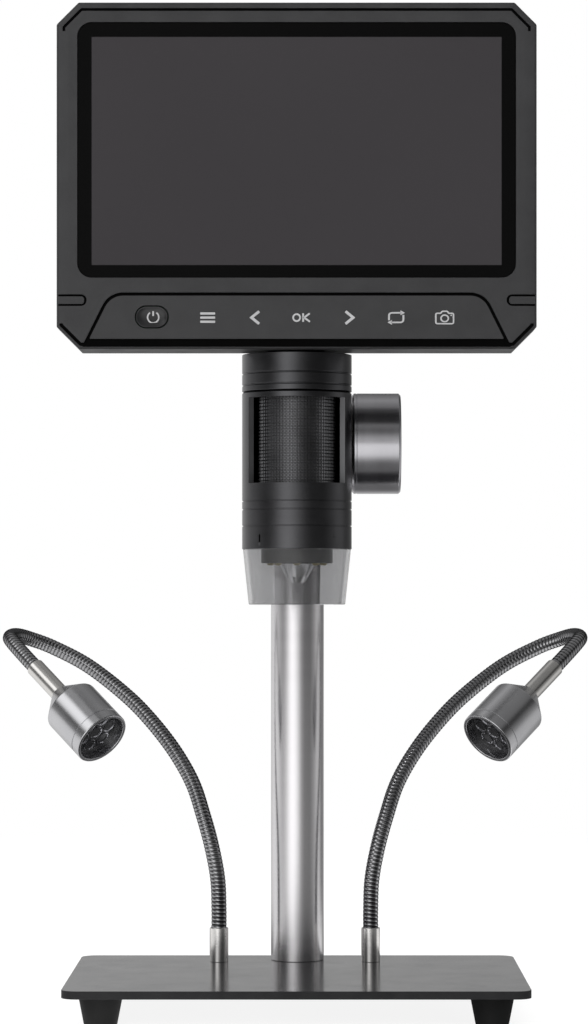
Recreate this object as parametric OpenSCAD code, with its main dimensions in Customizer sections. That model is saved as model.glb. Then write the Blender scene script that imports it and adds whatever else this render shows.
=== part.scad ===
// Desk microscope with a screen: a weighted plate on four feet carries a post,
// a lens tube that slides and swivels on it, a tilting screen and two bendable lamps.
// Millimetres, +Z up, the front faces -Y, origin under the middle of its bounding box.

/* [Base plate] */
// Width of the base plate
plate_w = 173; // [165:1:190]
// Depth of the base plate, front to back
plate_d = 120; // [114:1:135]
// Thickness of the base plate
plate_t = 3; // [2.8:0.1:6]
// Corner radius of the base plate
plate_corner_r = 6; // [3:0.5:12]

/* [Feet] */
// Height of a rubber foot, floor to plate
foot_h = 11; // [10:0.1:14]
// Diameter of a foot at the plate
foot_top_d = 16.6; // [14:0.1:20]
// Diameter of a foot at the floor
foot_floor_d = 12.3; // [10:0.1:13.5]
// Distance of a foot's centre from the plate's edges
foot_inset = 14; // [12:0.5:18]
// Diameter of a foot's screw
foot_screw_d = 3; // [2.5:0.1:3.5]
// Depth of a foot's screw in the plate
foot_screw_bite = 2.2; // [1.5:0.1:2.6]

/* [Post] */
// Diameter of the post
post_d = 21; // [18:0.5:22]
// Height of the steel post above the plate, without its cap
post_h = 247; // [244:1:255]
// Distance of the post's axis from the plate's rear edge
post_inset = 14.7; // [13:0.1:16]
// Thickness of the post's top cap
post_cap_t = 3; // [2:0.5:5]
// Diameter of the screw that holds the post
post_screw_d = 8; // [6:0.5:9]
// Depth of that screw in the post
post_screw_bite = 18; // [12:1:24]

/* [Lamp sockets] */
// Sideways distance from the post's axis to the lamps' mid line, on the left
lamp_offset = 1; // [0:0.5:3]
// Distance between the two lamp sockets
socket_spacing = 60; // [56:1:66]
// Distance of the sockets in front of the post's axis
socket_ahead = 7.6; // [5:0.1:10]
// Diameter of a lamp socket
socket_d = 7.4; // [7:0.1:9]
// Height of a lamp socket above the plate
socket_h = 13.5; // [10:0.5:18]
// Diameter of a socket's threaded end
socket_thread_d = 5; // [4.5:0.1:5.5]
// Width across the flats of a socket's nut
socket_nut_w = 8; // [7:0.1:10]
// Height of a socket's nut
socket_nut_h = 3; // [2:0.1:4]

/* [Lamp necks] */
// Sideways reach of a neck beyond its socket
neck_reach = 85; // [80:1:90]
// Diameter of a neck over its ribs
neck_d = 6.1; // [5.6:0.1:6.4]
// Diameter of a neck's bore
neck_bore_d = 3.2; // [2.4:0.1:3.6]
// Distance from rib to rib
rib_pitch = 1.9; // [1.8:0.1:3]
// Depth of the groove between two ribs
rib_depth = 0.35; // [0.2:0.05:0.5]
// Length of a neck up to the place where it bends
bend_length = 45; // [38:1:60]

/* [Lamp heads] */
// Angle of a lamp's axis from straight up
lamp_polar = 126; // [122:1:130]
// Direction of a lamp's axis around the vertical
lamp_azimuth = -138.4; // [-143:0.2:-134]
// Diameter of a lamp's ferrule
ferrule_d = 7.2; // [6.8:0.1:8]
// Length of a lamp's ferrule up to the can
ferrule_l = 17.3; // [15:0.1:20]
// Diameter of a lamp's can
can_d = 22.8; // [20:0.2:25]
// Length of a lamp's can
can_l = 29.2; // [27:0.1:32]
// Wall of a lamp's can
can_wall = 1.4; // [1:0.1:2]
// Length of the cone at a lamp can's back
can_cone_l = 8.3; // [6:0.1:9.5]
// Thickness of a lamp can's back
can_back_t = 3; // [2:0.5:4]
// Depth of a lamp's lens plate behind its rim
lens_recess = 3.5; // [2.5:0.1:3.8]
// Number of outer lens cups in a lamp
lens_cups = 6; // [5:1:7]

/* [Lamp driver] */
// Width of the driver's case under the plate
driver_w = 26; // [22:1:28]
// Depth of the driver's case
driver_d = 34; // [30:1:37]
// Height of the driver's case
driver_h = 6.8; // [5.6:0.1:7.4]

/* [Slide on the post] */
// Wall of the sliding sleeve
sleeve_wall = 1.45; // [1.2:0.05:2]
// Height of the sliding sleeve
sleeve_h = 36; // [35:1:40]
// Width of the sleeve's lower flange beyond its wall
sleeve_flange_w = 3.5; // [2:0.1:4.5]
// Thickness of the sleeve's lower flange
sleeve_flange_t = 2.2; // [1.5:0.1:2.5]
// Wall of the collar around the sleeve
collar_wall = 5; // [4:0.1:5.5]
// Height of the collar and of the arm
arm_h = 32; // [31:0.5:34]
// Width of the arm
arm_w = 28; // [27:1:32]
// Height of the focus knob's axis above the plate
arm_level = 204; // [201:0.1:207]
// Distance from the post's axis to the tube's axis
tube_reach = 48; // [47.5:0.1:52]

/* [Clamp screw] */
// Diameter of the clamp screw
clamp_d = 5; // [4:0.5:6]
// Diameter of the clamp screw's head
clamp_head_d = 22; // [18:1:26]
// Length of the clamp screw's head
clamp_head_l = 18; // [12:1:22]
// Length of the boss that the clamp screw turns in
clamp_boss_l = 7; // [5:0.5:9]
// Gap between the boss and the clamp screw's head
clamp_gap = 1; // [0.5:0.1:2]

/* [Tube] */
// Outer diameter of the tube
tube_d = 42; // [41.6:0.1:43]
// Wall of the tube
tube_wall = 2.2; // [2:0.1:2.3]
// Height of the tube's body
tube_h = 60.2; // [58:0.1:64]
// Drop of the tube's underside below the knob's axis
tube_drop = 41.4; // [39:0.1:44]
// Thickness of the tube's floor
tube_floor_t = 2.5; // [2:0.1:3.5]
// Drop of the window's lower edge below the knob's axis
window_drop = 16.4; // [15:0.1:17]
// Height of the window
window_h = 32.6; // [30:0.1:33]
// Half of the window's angle around the tube
window_half_angle = 60.8; // [50:0.2:64]
// Height of the tube's top cap
cap_h = 14.1; // [12.8:0.1:15]
// Thickness of the top cap's roof
cap_roof_t = 2.5; // [2:0.1:2.8]
// Width of a turned groove
groove_w = 0.5; // [0.3:0.1:0.8]
// Depth of a turned groove
groove_depth = 0.35; // [0.2:0.05:0.6]
// Height of the bevel at the tube body's top edge
tube_bevel = 0.8; // [0.4:0.1:0.9]

/* [Nose and shield] */
// Diameter of the light ring under the tube
light_ring_d = 27.4; // [24:0.2:30]
// Height of the light ring
light_ring_h = 5.4; // [4.5:0.1:6]
// Number of light points in the ring
light_points = 8; // [6:1:10]
// Diameter of the nose cone where it leaves the ring
nose_d = 13; // [12:0.2:14]
// Diameter of the nose cone's tip
nose_tip_d = 4.5; // [4:0.1:6]
// Height of the nose cone
nose_h = 7.9; // [6:0.1:9]
// Height of the clear shield
shield_h = 21.2; // [19:0.1:24]
// Diameter of the clear shield at the tube
shield_top_d = 41.4; // [40.5:0.1:41.6]
// Diameter of the clear shield at its rim
shield_rim_d = 37; // [34:0.2:38]
// Wall of the clear shield
shield_wall = 1.4; // [1:0.1:2]

/* [Focus] */
// Travel of the lens carrier to each side
focus_travel = 4; // [3:0.1:4.1]
// Space between the knurled focus ring and the tube's bore
ring_space = 3.8; // [3.6:0.1:5]
// Wall of the focus ring
ring_wall = 2.4; // [1.8:0.1:3]
// Wall of the carrier's barrel
barrel_wall = 2; // [1.5:0.1:2.5]
// Thickness of the carrier's two flanges
flange_t = 3.2; // [2.5:0.1:3.4]
// Grooves around the focus ring
knurl_count = 36; // [24:2:48]
// Depth of a knurl groove
knurl_depth = 0.45; // [0.3:0.05:0.6]
// Travel of the lens cell to each side
cell_travel = 2; // [1:0.1:3]
// Length of the lens cell
cell_l = 14; // [10:0.5:16]
// Wall of the lens cell around the lens
cell_wall = 3.5; // [2.8:0.1:5]

/* [Rack and pinion] */
// Module of the teeth
tooth_module = 0.7; // [0.65:0.01:0.72]
// Teeth on the pinion
pinion_teeth = 12; // [12:1:12]
// Pressure angle of the teeth
pressure = 25; // [24:0.5:26]
// Play taken off each flank of the rack
flank_play = 0.08; // [0.06:0.01:0.12]
// Width of the rack and of the pinion
rack_w = 7; // [6:0.5:8]
// Thickness of the rack's bar under its teeth
rack_bar_t = 1.1; // [1:0.05:1.2]

/* [Focus knob] */
// Diameter of the focus knob
knob_d = 39.1; // [36:0.1:40]
// Length of the focus knob
knob_l = 18.9; // [16:0.1:22]
// Thickness of the washer behind the knob
knob_washer_t = 0.8; // [0.5:0.1:1.2]
// Diameter of the knob's shaft
shaft_d = 5; // [4.6:0.1:5.4]
// Wall of the shaft's bushes
bush_wall = 1.4; // [1.2:0.1:1.8]

/* [Screen] */
// Width of the lit picture
picture_w = 154.2; // [150:0.1:158]
// Height of the lit picture
picture_h = 85.9; // [84:0.1:89]
// Width of the glass beside the picture
glass_side = 5.2; // [4.5:0.1:6]
// Height of the glass above the picture
glass_above = 5.3; // [4.5:0.1:6]
// Height of the glass below the picture
glass_below = 4.6; // [4:0.1:6]
// Width of the case beside the glass
case_side = 7.95; // [7:0.05:10]
// Height of the case above the glass
case_above = 7.7; // [7.2:0.1:9]
// Height of the case below the glass
case_below = 26.8; // [26.4:0.1:30]
// Thickness of the screen's case
screen_t = 24; // [23.5:0.5:28]
// Bevel of the case's four corners
screen_corner = 8.3; // [6:0.1:9]
// Wall of the screen's case
screen_wall = 2.4; // [2:0.1:2.8]
// Thickness of the case's front
front_t = 2.6; // [2.4:0.1:3]
// Depth of the front half of the case
bezel_depth = 12; // [12:0.1:12.6]
// Thickness of the glass
glass_t = 1.1; // [0.8:0.1:1.2]

/* [Keys] */
// Distance from the case's side to the key film's lower corner
film_side = 11.25; // [9:0.05:13]
// Distance by which each of the film's slanted ends leans in, before the corners are rounded
film_lean = 11.7; // [10:0.1:14]
// Height of the key film
film_h = 16.2; // [15.8:0.1:16.6]
// Distance from the case's bottom edge to the key film
film_inset = 3.8; // [3.4:0.1:4]
// Thickness of the key film
film_t = 0.6; // [0.5:0.1:0.7]
// Width of a key
key_w = 12; // [10:0.5:13]
// Height of a key
key_h = 7.5; // [6.5:0.1:8.5]
// Distance from the power button's centre to the first key's centre
key_start = 21; // [20:0.1:23]
// Distance from the last key's centre to the film's upper corner, before it is rounded
key_end = 11.7; // [11:0.1:14]
// Distance from the case's bottom edge to the keys' centres
key_level = 12; // [11.6:0.1:12.3]
// Distance from the film's upper corner to the power button's centre
power_inset = 12.9; // [12:0.1:14]
// Width of the power button
power_w = 12.2; // [10:0.1:12.4]
// Height of the power button
power_h = 8.1; // [7:0.1:8.6]
// Press of a key
key_travel = 0.3; // [0.2:0.05:0.4]
// Press of the power button
power_travel = 0.5; // [0.3:0.05:0.6]

/* [Screen hinge] */
// Gap between the tube's cap and the screen's case
cap_gap = 0.6; // [0.5:0.1:2]
// Distance of the hinge's axis behind the tube's axis
hinge_back = 6; // [4:0.1:8]
// Distance of the hinge's axis behind the screen's case
hinge_gap = 8; // [7:0.1:10]
// Drop of the case's bottom edge below the hinge's axis
screen_drop = 6.8; // [6:0.1:7.5]
// Radius of the hinge's ears and knuckle
hinge_r = 5; // [4.5:0.1:5.5]
// Diameter of the hinge's pin
pin_d = 3; // [2.5:0.1:4]
// Width of the hinge's knuckle
knuckle_w = 13.8; // [12:0.2:15]
// Thickness of a hinge ear
ear_t = 4; // [3:0.1:5]

/* [Inside the screen] */
// Width of the main board
board_w = 126; // [122:1:128]
// Height of the main board
board_h = 62; // [58:1:66]
// Thickness of the circuit boards
board_t = 1.6; // [1.2:0.1:1.8]
// Height of the main board's centre above the case's middle
board_rise = 6; // [4:0.5:8]
// Width of the battery
battery_w = 80; // [70:1:84]
// Height of the battery
battery_h = 46; // [40:1:50]
// Thickness of the battery
battery_t = 6; // [5:0.1:7.5]

/* [Clearances] */
// Radial clearance of a part that turns or slides in another
running = 0.05; // [0.03:0.01:0.08]
// Radial clearance of a screw or pin in its hole
snug = 0.02; // [0.01:0.01:0.04]
// Clearance between parts that pass each other
passing = 0.3; // [0.25:0.01:0.4]

/* [Hidden] */
$fn = 64;
far = 400;

// Heights and places, seen from the post's axis
plate_top = foot_h + plate_t;
front_reach = plate_d - post_inset;
arm_z = plate_top + arm_level;
sleeve_r = post_d / 2 + running + sleeve_wall;
collar_r = sleeve_r + running + collar_wall;
boss_end = collar_r + clamp_boss_l;
rear_reach = boss_end + clamp_gap + clamp_head_l;
post_y = (front_reach - rear_reach) / 2;

// Feet and post
foot_head_d = foot_screw_d + 2.8;
foot_head_h = 2;
foot_web_t = 4;
post_head_d = post_screw_d + 5;
post_head_h = 4;
cap_plug_d = post_d / 2;
cap_plug_l = 6;

// Lamps
lamp_aim = [
    sin(lamp_polar) * cos(lamp_azimuth),
    sin(lamp_polar) * sin(lamp_azimuth),
    cos(lamp_polar)
];
neck_lead = 7.5;
neck_end = neck_reach * [0.8635, 0.1129, 1.2071];
// Route of a neck from its socket's top, outwards, back and up, as shares of its reach
neck_route = concat(
    [
        for (p = [
            [0, 0, 0], [0, 0, 0.082], [0.006, 0.006, 0.224], [0.035, 0.029, 0.376],
            [0.076, 0.076, 0.518], [0.129, 0.147, 0.665], [0.218, 0.229, 0.812],
            [0.335, 0.324, 0.953], [0.459, 0.406, 1.071], [0.641, 0.488, 1.206],
            [0.812, 0.524, 1.294], [0.918, 0.5, 1.335], [0.976, 0.418, 1.353],
            [1, 0.324, 1.347], [0.982, 0.241, 1.324]
        ]) neck_reach * p
    ],
    [neck_end - neck_lead * lamp_aim, neck_end]
);
socket_top = [socket_spacing / 2, -socket_ahead, plate_top + socket_h];
spline_steps = 12;
neck_sides = 8;
bore_step = 9;
can_r = can_d / 2;
can_front = ferrule_l + can_l;
lens_plate_t = 2;
lens_front = can_front - lens_recess;
lamp_board_z = can_front - 12.5;
cone_r = ferrule_d / 2 + 0.3;
cone_slope = (can_r - cone_r) / can_cone_l;
lamp_board_r = can_r - can_wall - snug;
board_ledge = 1.2;
cup_ring_r = lamp_board_r * 0.62;
cup_r = lamp_board_r * 0.25;

// Lamp driver, beside the right socket and well behind the plate's front edge
driver_x = plate_w / 2 - foot_inset - foot_top_d / 2 - driver_w / 2 - 2;
driver_back = post_inset - 2;
driver_wall = 1.5;
inlet_w = 9;
inlet_h = 3.2;
inlet_d = 7.3;

// Tube, seen from its own axis at the knob's height
tube_r = tube_d / 2;
bore_r = tube_r - tube_wall;
tube_bottom = -tube_drop;
tube_top = tube_bottom + tube_h;
window_top = window_h - window_drop;
cap_top = tube_top + cap_h;
rabbet_h = 2;
rabbet_wall = tube_wall / 2;
tube_grooves = [8.8, 15.1, 18.3];
cap_grooves = [2.3, 6.7];
mark_x = 14.35;

// Carrier, ring and lens cell
ring_half = max(window_top, window_drop) + focus_travel + 0.7;
flange_r = bore_r - running;
ring_r = bore_r - ring_space;
barrel_r = ring_r - ring_wall - running;
barrel_bore_r = barrel_r - barrel_wall;
lens_r = barrel_bore_r - running - cell_wall;
ring_play = 0.2;
flange_top = -ring_half - ring_play;
cap_flange_bottom = ring_half + ring_play;
cap_hole_r = 4;
sensor_chip_t = 1.4;
sensor_chip_w = 8;
lens_to_sensor = 11.7;
lens_t = 3;
sensor_board_w = 17;
sensor_plug_l = 7;
sensor_plug_wall = 1.5;
sensor_face = cap_flange_bottom - sensor_plug_l - board_t - sensor_chip_t;
cell_bottom = sensor_face - lens_to_sensor - cell_travel - cell_l;

// Rack and pinion
pinion_r = tooth_module * pinion_teeth / 2;
base_r = pinion_r * cos(pressure);
addendum = 0.8 * tooth_module;
dedendum = 1.1 * tooth_module;
tooth_pitch = PI * tooth_module;
rack_line = ring_r + passing + rack_bar_t + dedendum;
pinion_y = rack_line + pinion_r;
chamber_r = pinion_r + addendum + passing + 0.2;
rack_reach = focus_travel + pinion_r;

// Knob and its shaft
bush_r = shaft_d / 2 + running + bush_wall;
boss_r = bush_r + 4;
boss_x = tube_r - 0.6;
knob_x = boss_x + 0.1 + knob_washer_t;
// The washer stays clear of the tube's round side
washer_clear_y = sqrt(pow(tube_r, 2) - pow(knob_x - knob_washer_t - passing, 2));
knob_washer_r = min(knob_d / 2 - 0.4, pinion_y - washer_clear_y);
shaft_left = -arm_w / 2 + 2;
knob_bevel = 0.8;
knob_dish = 0.8;

// Screws that hold the tube to the arm
arm_screw_d = 3;
arm_screw_x = 9.5;
arm_screw_z = arm_h / 2 - 5;
arm_screw_head_d = 5.6;
arm_screw_head_h = 1.8;
arm_screw_seat = sqrt(pow(bore_r, 2) - pow(arm_screw_x, 2)) + 0.2;
arm_screw_l = 10;

// Screen, seen from the middle of its hinge's axis
case_back = -hinge_gap;
case_front = case_back - screen_t;
case_bottom = -screen_drop;
hinge_rise = screen_drop + cap_gap;
glass_w = picture_w + 2 * glass_side;
glass_h = picture_h + glass_above + glass_below;
screen_w = glass_w + 2 * case_side;
screen_h = glass_h + case_above + case_below;
case_top = case_bottom + screen_h;
parting = case_front + bezel_depth;
front_back = case_front + front_t;
glass_z = case_bottom + case_below + glass_h / 2;
glass_front = case_front + 0.6;
glass_back = glass_front + glass_t;
picture_z = case_bottom + case_below + glass_below + picture_h / 2;
picture_edge = 1.2;
lcd_side = 3.4;
lcd_above = 4.5;
lcd_w = picture_w + 2 * lcd_side;
lcd_h = picture_h + 2 * lcd_above;
lcd_t = 3.5;
glass_gap = 0.1;
glass_corner_r = 3.8;

// Key film, keys and their board
film_bottom_w = screen_w - 2 * film_side;
film_top_w = film_bottom_w - 2 * film_lean;
film_bottom = case_bottom + film_inset;
film_front = case_front + 0.4;
film_back = film_front + film_t;
film_gap = 1.2;
film_round = 5.6;
film_band = 3;
key_z = case_bottom + key_level;
key_front = film_back + running;
key_flange_w = 1.2;
key_flange_t = 0.5;
key_flange_front = front_back + passing;
key_count = 6;
power_x = power_inset - film_top_w / 2;
key_first = power_x + key_start;
key_pitch = (film_top_w / 2 - key_end - key_first) / (key_count - 1);
switch_top = key_flange_front + key_flange_t + key_travel + 0.05;
power_front = film_front - 0.3;
power_switch_top = key_flange_front + key_flange_t + power_travel + 0.05;
key_board_y = switch_top + 2.6;
key_board_h = 15;
key_board_end = 12;

// Boards, battery and ports in the case
board_y = parting - board_t + 1;
board_x = screen_w / 2 - screen_wall - 1.5 - board_w / 2;
board_z = (case_bottom + case_top) / 2 + board_rise;
board_post_d = 6;
back_in = case_back - screen_wall;
battery_shift = 10;
case_screw_d = 2.5;
case_boss_d = 6.4;
case_screw_inset = 6;
case_screw_low = 22;
case_screw_high = 16;
case_screw_x = screen_w / 2 - case_screw_inset;
case_screw_z = [case_screw_low, screen_h - case_screw_high];
case_screw_l = 9;
port_depth = 7;
port_list = [[-16, 9, 3.2], [0, 12, 2], [17, 10.4, 2.6]];
port_skin = 0.5;
strip_w = 2.7;
strip_groove_w = 0.9;
strip_groove_depth = 0.6;
notch_w = 10.8;
notch_h = 4;
notch_level = 18.3;
notch_depth = 0.5;
vent_count = 9;
vent_w = 44;
vent_h = 1.8;
vent_pitch = 4;

// ---- placing ----

// Moves its children from the post's axis at floor level to the part's frame
module at_post() {
    translate([lamp_offset, post_y, 0]) children();
}

// Moves its children from the tube's axis at the knob's height
module at_tube() {
    at_post() translate([0, -tube_reach, arm_z]) children();
}

// Moves its children from the middle of the hinge's axis
module at_hinge() {
    at_tube() translate([0, hinge_back, cap_top + hinge_rise]) children();
}

// Moves its children to one lamp socket's top; the left lamp mirrors the right one
module at_socket(side) {
    at_post()
        translate([-lamp_offset, 0, 0])
            mirror([side < 0 ? 1 : 0, 0, 0])
                translate(socket_top) children();
}

// Moves its children to the end of one neck, with +Z along the lamp's aim
module at_lamp(side) {
    at_socket(side) translate(neck_end) rotate([0, lamp_polar, lamp_azimuth]) children();
}

// ---- shared shapes ----

// A tube or disc along Z from z0 to z1
module ring_z(r_out, r_in, z0, z1) {
    translate([0, 0, z0])
        linear_extrude(z1 - z0)
            difference() {
                circle(r_out);
                if (r_in > 0) circle(r_in);
            }
}

// A cylinder along X
module rod_x(r, x0, x1) {
    translate([x0, 0, 0]) rotate([0, 90, 0]) cylinder(r = r, h = x1 - x0);
}

// A cylinder along Y
module rod_y(r, y0, y1) {
    translate([0, y0, 0]) rotate([-90, 0, 0]) cylinder(r = r, h = y1 - y0);
}

// A flat shape in X and Z, stood up from y0 to y1
module slab_y(y0, y1) {
    translate([0, y1, 0]) rotate([90, 0, 0]) linear_extrude(y1 - y0) children();
}

// A box between two corners
module block(low, high) {
    translate(low) cube(high - low);
}

// A rectangle with round corners, centred
module round_rect(w, h, r) {
    for (x = [-1, 1], z = [-1, 1])
        translate([x * (w / 2 - r), z * (h / 2 - r)]) circle(r);
    square([w - 2 * r, h], center = true);
    square([w, h - 2 * r], center = true);
}

// A slot with round ends, centred
module obround(w, h) {
    for (x = [-1, 1]) translate([x * (w - h) / 2, 0]) circle(h / 2);
    square([w - h, h], center = true);
}

// ---- stand ----

foot_places = [
    for (x = [-1, 1], y = [-1, 1])
        [
            x * (plate_w / 2 - foot_inset),
            post_inset - plate_d / 2 + y * (plate_d / 2 - foot_inset)
        ]
];

module base_plate() {
    color("dimgray")
        difference() {
            translate([0, post_inset - plate_d / 2, foot_h])
                linear_extrude(plate_t) round_rect(plate_w, plate_d, plate_corner_r);
            cylinder(r = post_screw_d / 2 + snug, h = far);
            for (side = [-1, 1])
                translate([side * socket_spacing / 2 - lamp_offset, -socket_ahead, 0])
                    cylinder(r = socket_thread_d / 2 + snug, h = far);
            for (p = foot_places)
                translate(p)
                    cylinder(r = foot_screw_d / 2 + snug, h = foot_h + foot_screw_bite + 0.2);
        }
}

module rubber_feet() {
    color("black")
        for (p = foot_places)
            translate(p)
                difference() {
                    cylinder(d1 = foot_floor_d, d2 = foot_top_d, h = foot_h);
                    cylinder(r = foot_screw_d / 2 + snug, h = far);
                    translate([0, 0, -1])
                        cylinder(r = foot_head_d / 2 + snug, h = foot_h - foot_web_t + 1);
                }
}

module foot_screws() {
    color("silver")
        for (p = foot_places)
            translate([p.x, p.y, foot_h - foot_web_t]) {
                cylinder(d = foot_screw_d, h = foot_web_t + foot_screw_bite);
                translate([0, 0, -foot_head_h]) cylinder(d = foot_head_d, h = foot_head_h);
            }
}

module post() {
    color("gainsboro")
        translate([0, 0, plate_top])
            difference() {
                cylinder(d = post_d, h = post_h);
                translate([0, 0, -1])
                    cylinder(r = post_screw_d / 2 + snug, h = post_screw_bite + 2);
                translate([0, 0, post_h - cap_plug_l - 0.5])
                    cylinder(r = cap_plug_d / 2 + snug, h = far);
            }
}

module post_screw() {
    color("silver")
        translate([0, 0, foot_h - post_head_h])
            difference() {
                union() {
                    cylinder(d = post_head_d, h = post_head_h);
                    cylinder(d = post_screw_d, h = post_head_h + plate_t + post_screw_bite);
                }
                translate([0, 0, -1])
                    cylinder(d = post_screw_d * 0.7, h = post_head_h * 0.6 + 1, $fn = 6);
            }
}

module post_cap() {
    color("black")
        translate([0, 0, plate_top + post_h]) {
            rotate_extrude()
                polygon([
                    [0, 0], [post_d / 2, 0], [post_d / 2, post_cap_t - 1],
                    [post_d / 2 - 1, post_cap_t], [0, post_cap_t]
                ]);
            translate([0, 0, -cap_plug_l]) cylinder(d = cap_plug_d, h = cap_plug_l);
        }
}

module lamp_socket(side) {
    color("gray")
        at_socket(side)
            difference() {
                union() {
                    translate([0, 0, -socket_h]) cylinder(d = socket_d, h = socket_h);
                    translate([0, 0, -socket_h - plate_t - socket_nut_h - 1])
                        cylinder(d = socket_thread_d, h = plate_t + socket_nut_h + 1.5);
                }
                translate([0, 0, -far / 2]) cylinder(d = neck_bore_d, h = far);
            }
}

module socket_nuts() {
    color("silver")
        for (side = [-1, 1])
            at_socket(side)
                translate([0, 0, -socket_h - plate_t - socket_nut_h])
                    difference() {
                        cylinder(d = socket_nut_w / cos(30), h = socket_nut_h, $fn = 6);
                        translate([0, 0, -1])
                            cylinder(r = socket_thread_d / 2 + snug, h = far);
                    }
}

module driver_case() {
    color("black")
        translate([driver_x, driver_back - driver_d / 2, 0])
            difference() {
                translate([0, 0, foot_h - driver_h])
                    linear_extrude(driver_h) round_rect(driver_w, driver_d, 2);
                translate([0, 0, foot_h - driver_h + driver_wall])
                    linear_extrude(driver_h)
                        square([driver_w, driver_d] - 2 * driver_wall * [1, 1], center = true);
                translate([0, driver_d / 2, foot_h - driver_wall - inlet_h / 2])
                    cube([inlet_w + 2 * snug, inlet_d, inlet_h + 2 * snug], center = true);
            }
}

module driver_inlet() {
    color("silver")
        translate([driver_x, driver_back, foot_h - driver_wall - inlet_h / 2])
            difference() {
                union() {
                    slab_y(-inlet_d, 0) obround(inlet_w, inlet_h);
                    block([-inlet_w, -inlet_d - 3, inlet_h / 2], [inlet_w, -driver_wall - 0.5,
                        inlet_h / 2 + driver_wall]);
                }
                slab_y(-inlet_d + 1, 1) obround(inlet_w - 0.7, inlet_h - 0.7);
            }
}

// ---- lamps ----

// Points of a smooth curve through the route
function spline_point(a, b, c, d, t) =
    (2 * b + (c - a) * t + (2 * a - 5 * b + 4 * c - d) * t * t
        + (3 * b - a - 3 * c + d) * t * t * t) / 2;

function route_at(i) =
    i < 0 ? 2 * neck_route[0] - neck_route[1]
    : i >= len(neck_route) ? 2 * neck_route[len(neck_route) - 1] - neck_route[len(neck_route) - 2]
    : neck_route[i];

neck_points = [
    for (i = [0 : len(neck_route) - 2], k = [0 : spline_steps - 1])
        spline_point(route_at(i - 1), route_at(i), route_at(i + 1), route_at(i + 2),
            k / spline_steps),
    neck_end
];

// Running length along those points, then places read off by length
function lengths(p, i = 0, sum = 0, out = []) =
    i == len(p) ? out
    : let (s = i == 0 ? 0 : sum + norm(p[i] - p[i - 1]))
        lengths(p, i + 1, s, concat(out, [s]));

neck_sums = lengths(neck_points);
neck_length = neck_sums[len(neck_sums) - 1];
neck_tables = [for (axis = [0 : 2])
    [for (i = [0 : len(neck_points) - 1]) [neck_sums[i], neck_points[i][axis]]]];

function neck_at(s) = [for (axis = [0 : 2]) lookup(s, neck_tables[axis])];

function unit(v) = v / norm(v);

function neck_heading(s) =
    s < 1 ? [0, 0, 1]
    : s > neck_length - 1 ? lamp_aim
    : unit(neck_at(s + 0.5) - neck_at(s - 0.5));

// One ring of points round the neck's centre line
function neck_ring(s, r) =
    let (
        heading = neck_heading(s),
        across = unit(cross(heading, [1, 0, -1])),
        up = cross(heading, across),
        centre = neck_at(s)
    )
    [for (k = [0 : neck_sides - 1])
        centre + r * (cos(k * 360 / neck_sides) * across + sin(k * 360 / neck_sides) * up)];

// Triangles of a band between two rings, turned outwards or inwards
function band(a, b, inwards) = [
    for (k = [0 : neck_sides - 1])
        let (n = (k + 1) % neck_sides, p = a + k, q = a + n, u = b + k, v = b + n)
        each (inwards ? [[p, u, q], [q, u, v]] : [[p, q, u], [q, v, u]])
];

// A ribbed hose with its bore, between two lengths along the neck
module neck_hose(s0, s1) {
    ribs = floor((s1 - s0) / rib_pitch);
    outer = [for (i = [0 : 2 * ribs])
        neck_ring(s0 + (s1 - s0) * i / (2 * ribs),
            neck_d / 2 - (i % 2 == 1 ? rib_depth : 0))];
    steps = ceil((s1 - s0) / bore_step);
    inner = [for (i = [0 : steps])
        neck_ring(s0 + (s1 - s0) * i / steps, neck_bore_d / 2)];
    first_inner = neck_sides * len(outer);
    last_outer = first_inner - neck_sides;
    last_inner = first_inner + neck_sides * steps;
    polyhedron(
        points = [for (ring = concat(outer, inner), p = ring) p],
        faces = concat(
            [for (i = [0 : 2 * ribs - 1])
                each band(i * neck_sides, (i + 1) * neck_sides, false)],
            [for (i = [0 : steps - 1])
                each band(first_inner + i * neck_sides, first_inner + (i + 1) * neck_sides,
                    true)],
            band(0, first_inner, true),
            band(last_outer, last_inner, false)
        ),
        convexity = 10
    );
}

module neck_lower(side) {
    color("dimgray") at_socket(side) neck_hose(0, bend_length);
}

module neck_upper(side) {
    color("dimgray") at_socket(side) neck_hose(bend_length, neck_length);
}

module lamp_ferrule(side) {
    color("silver")
        at_lamp(side) {
            ring_z(ferrule_d / 2, neck_bore_d / 2, 0, ferrule_l);
            ring_z(ferrule_d / 2 - 0.8, neck_bore_d / 2, ferrule_l - 1, ferrule_l + can_back_t);
        }
}

module lamp_can(side) {
    back_in_z = ferrule_l + can_back_t;
    inner_r = can_r - can_wall - board_ledge;
    // The cone's wall is as thick as the can's, measured square to the slope
    cone_wall = can_wall * sqrt(1 + cone_slope * cone_slope);
    color("silver")
        at_lamp(side)
            rotate_extrude()
                polygon([
                    [ferrule_d / 2 - 0.8 + snug, ferrule_l],
                    [cone_r, ferrule_l],
                    [can_r, ferrule_l + can_cone_l],
                    [can_r, can_front - 0.4],
                    [can_r - 0.4, can_front],
                    [can_r - can_wall, can_front],
                    [can_r - can_wall, lamp_board_z],
                    [inner_r, lamp_board_z],
                    [inner_r, ferrule_l + (inner_r + cone_wall - cone_r) / cone_slope],
                    [cone_r + cone_slope * can_back_t - cone_wall, back_in_z],
                    [ferrule_d / 2 - 0.8 + snug, back_in_z]
                ]);
}

module lamp_board(side) {
    color("green")
        at_lamp(side) {
            ring_z(lamp_board_r, 0, lamp_board_z, lamp_board_z + board_t);
            for (i = [0 : lens_cups])
                rotate([0, 0, i * 360 / lens_cups])
                    translate([i < lens_cups ? cup_ring_r : 0, 0, lamp_board_z + board_t])
                        linear_extrude(0.8) square(2.8, center = true);
        }
}

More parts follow.
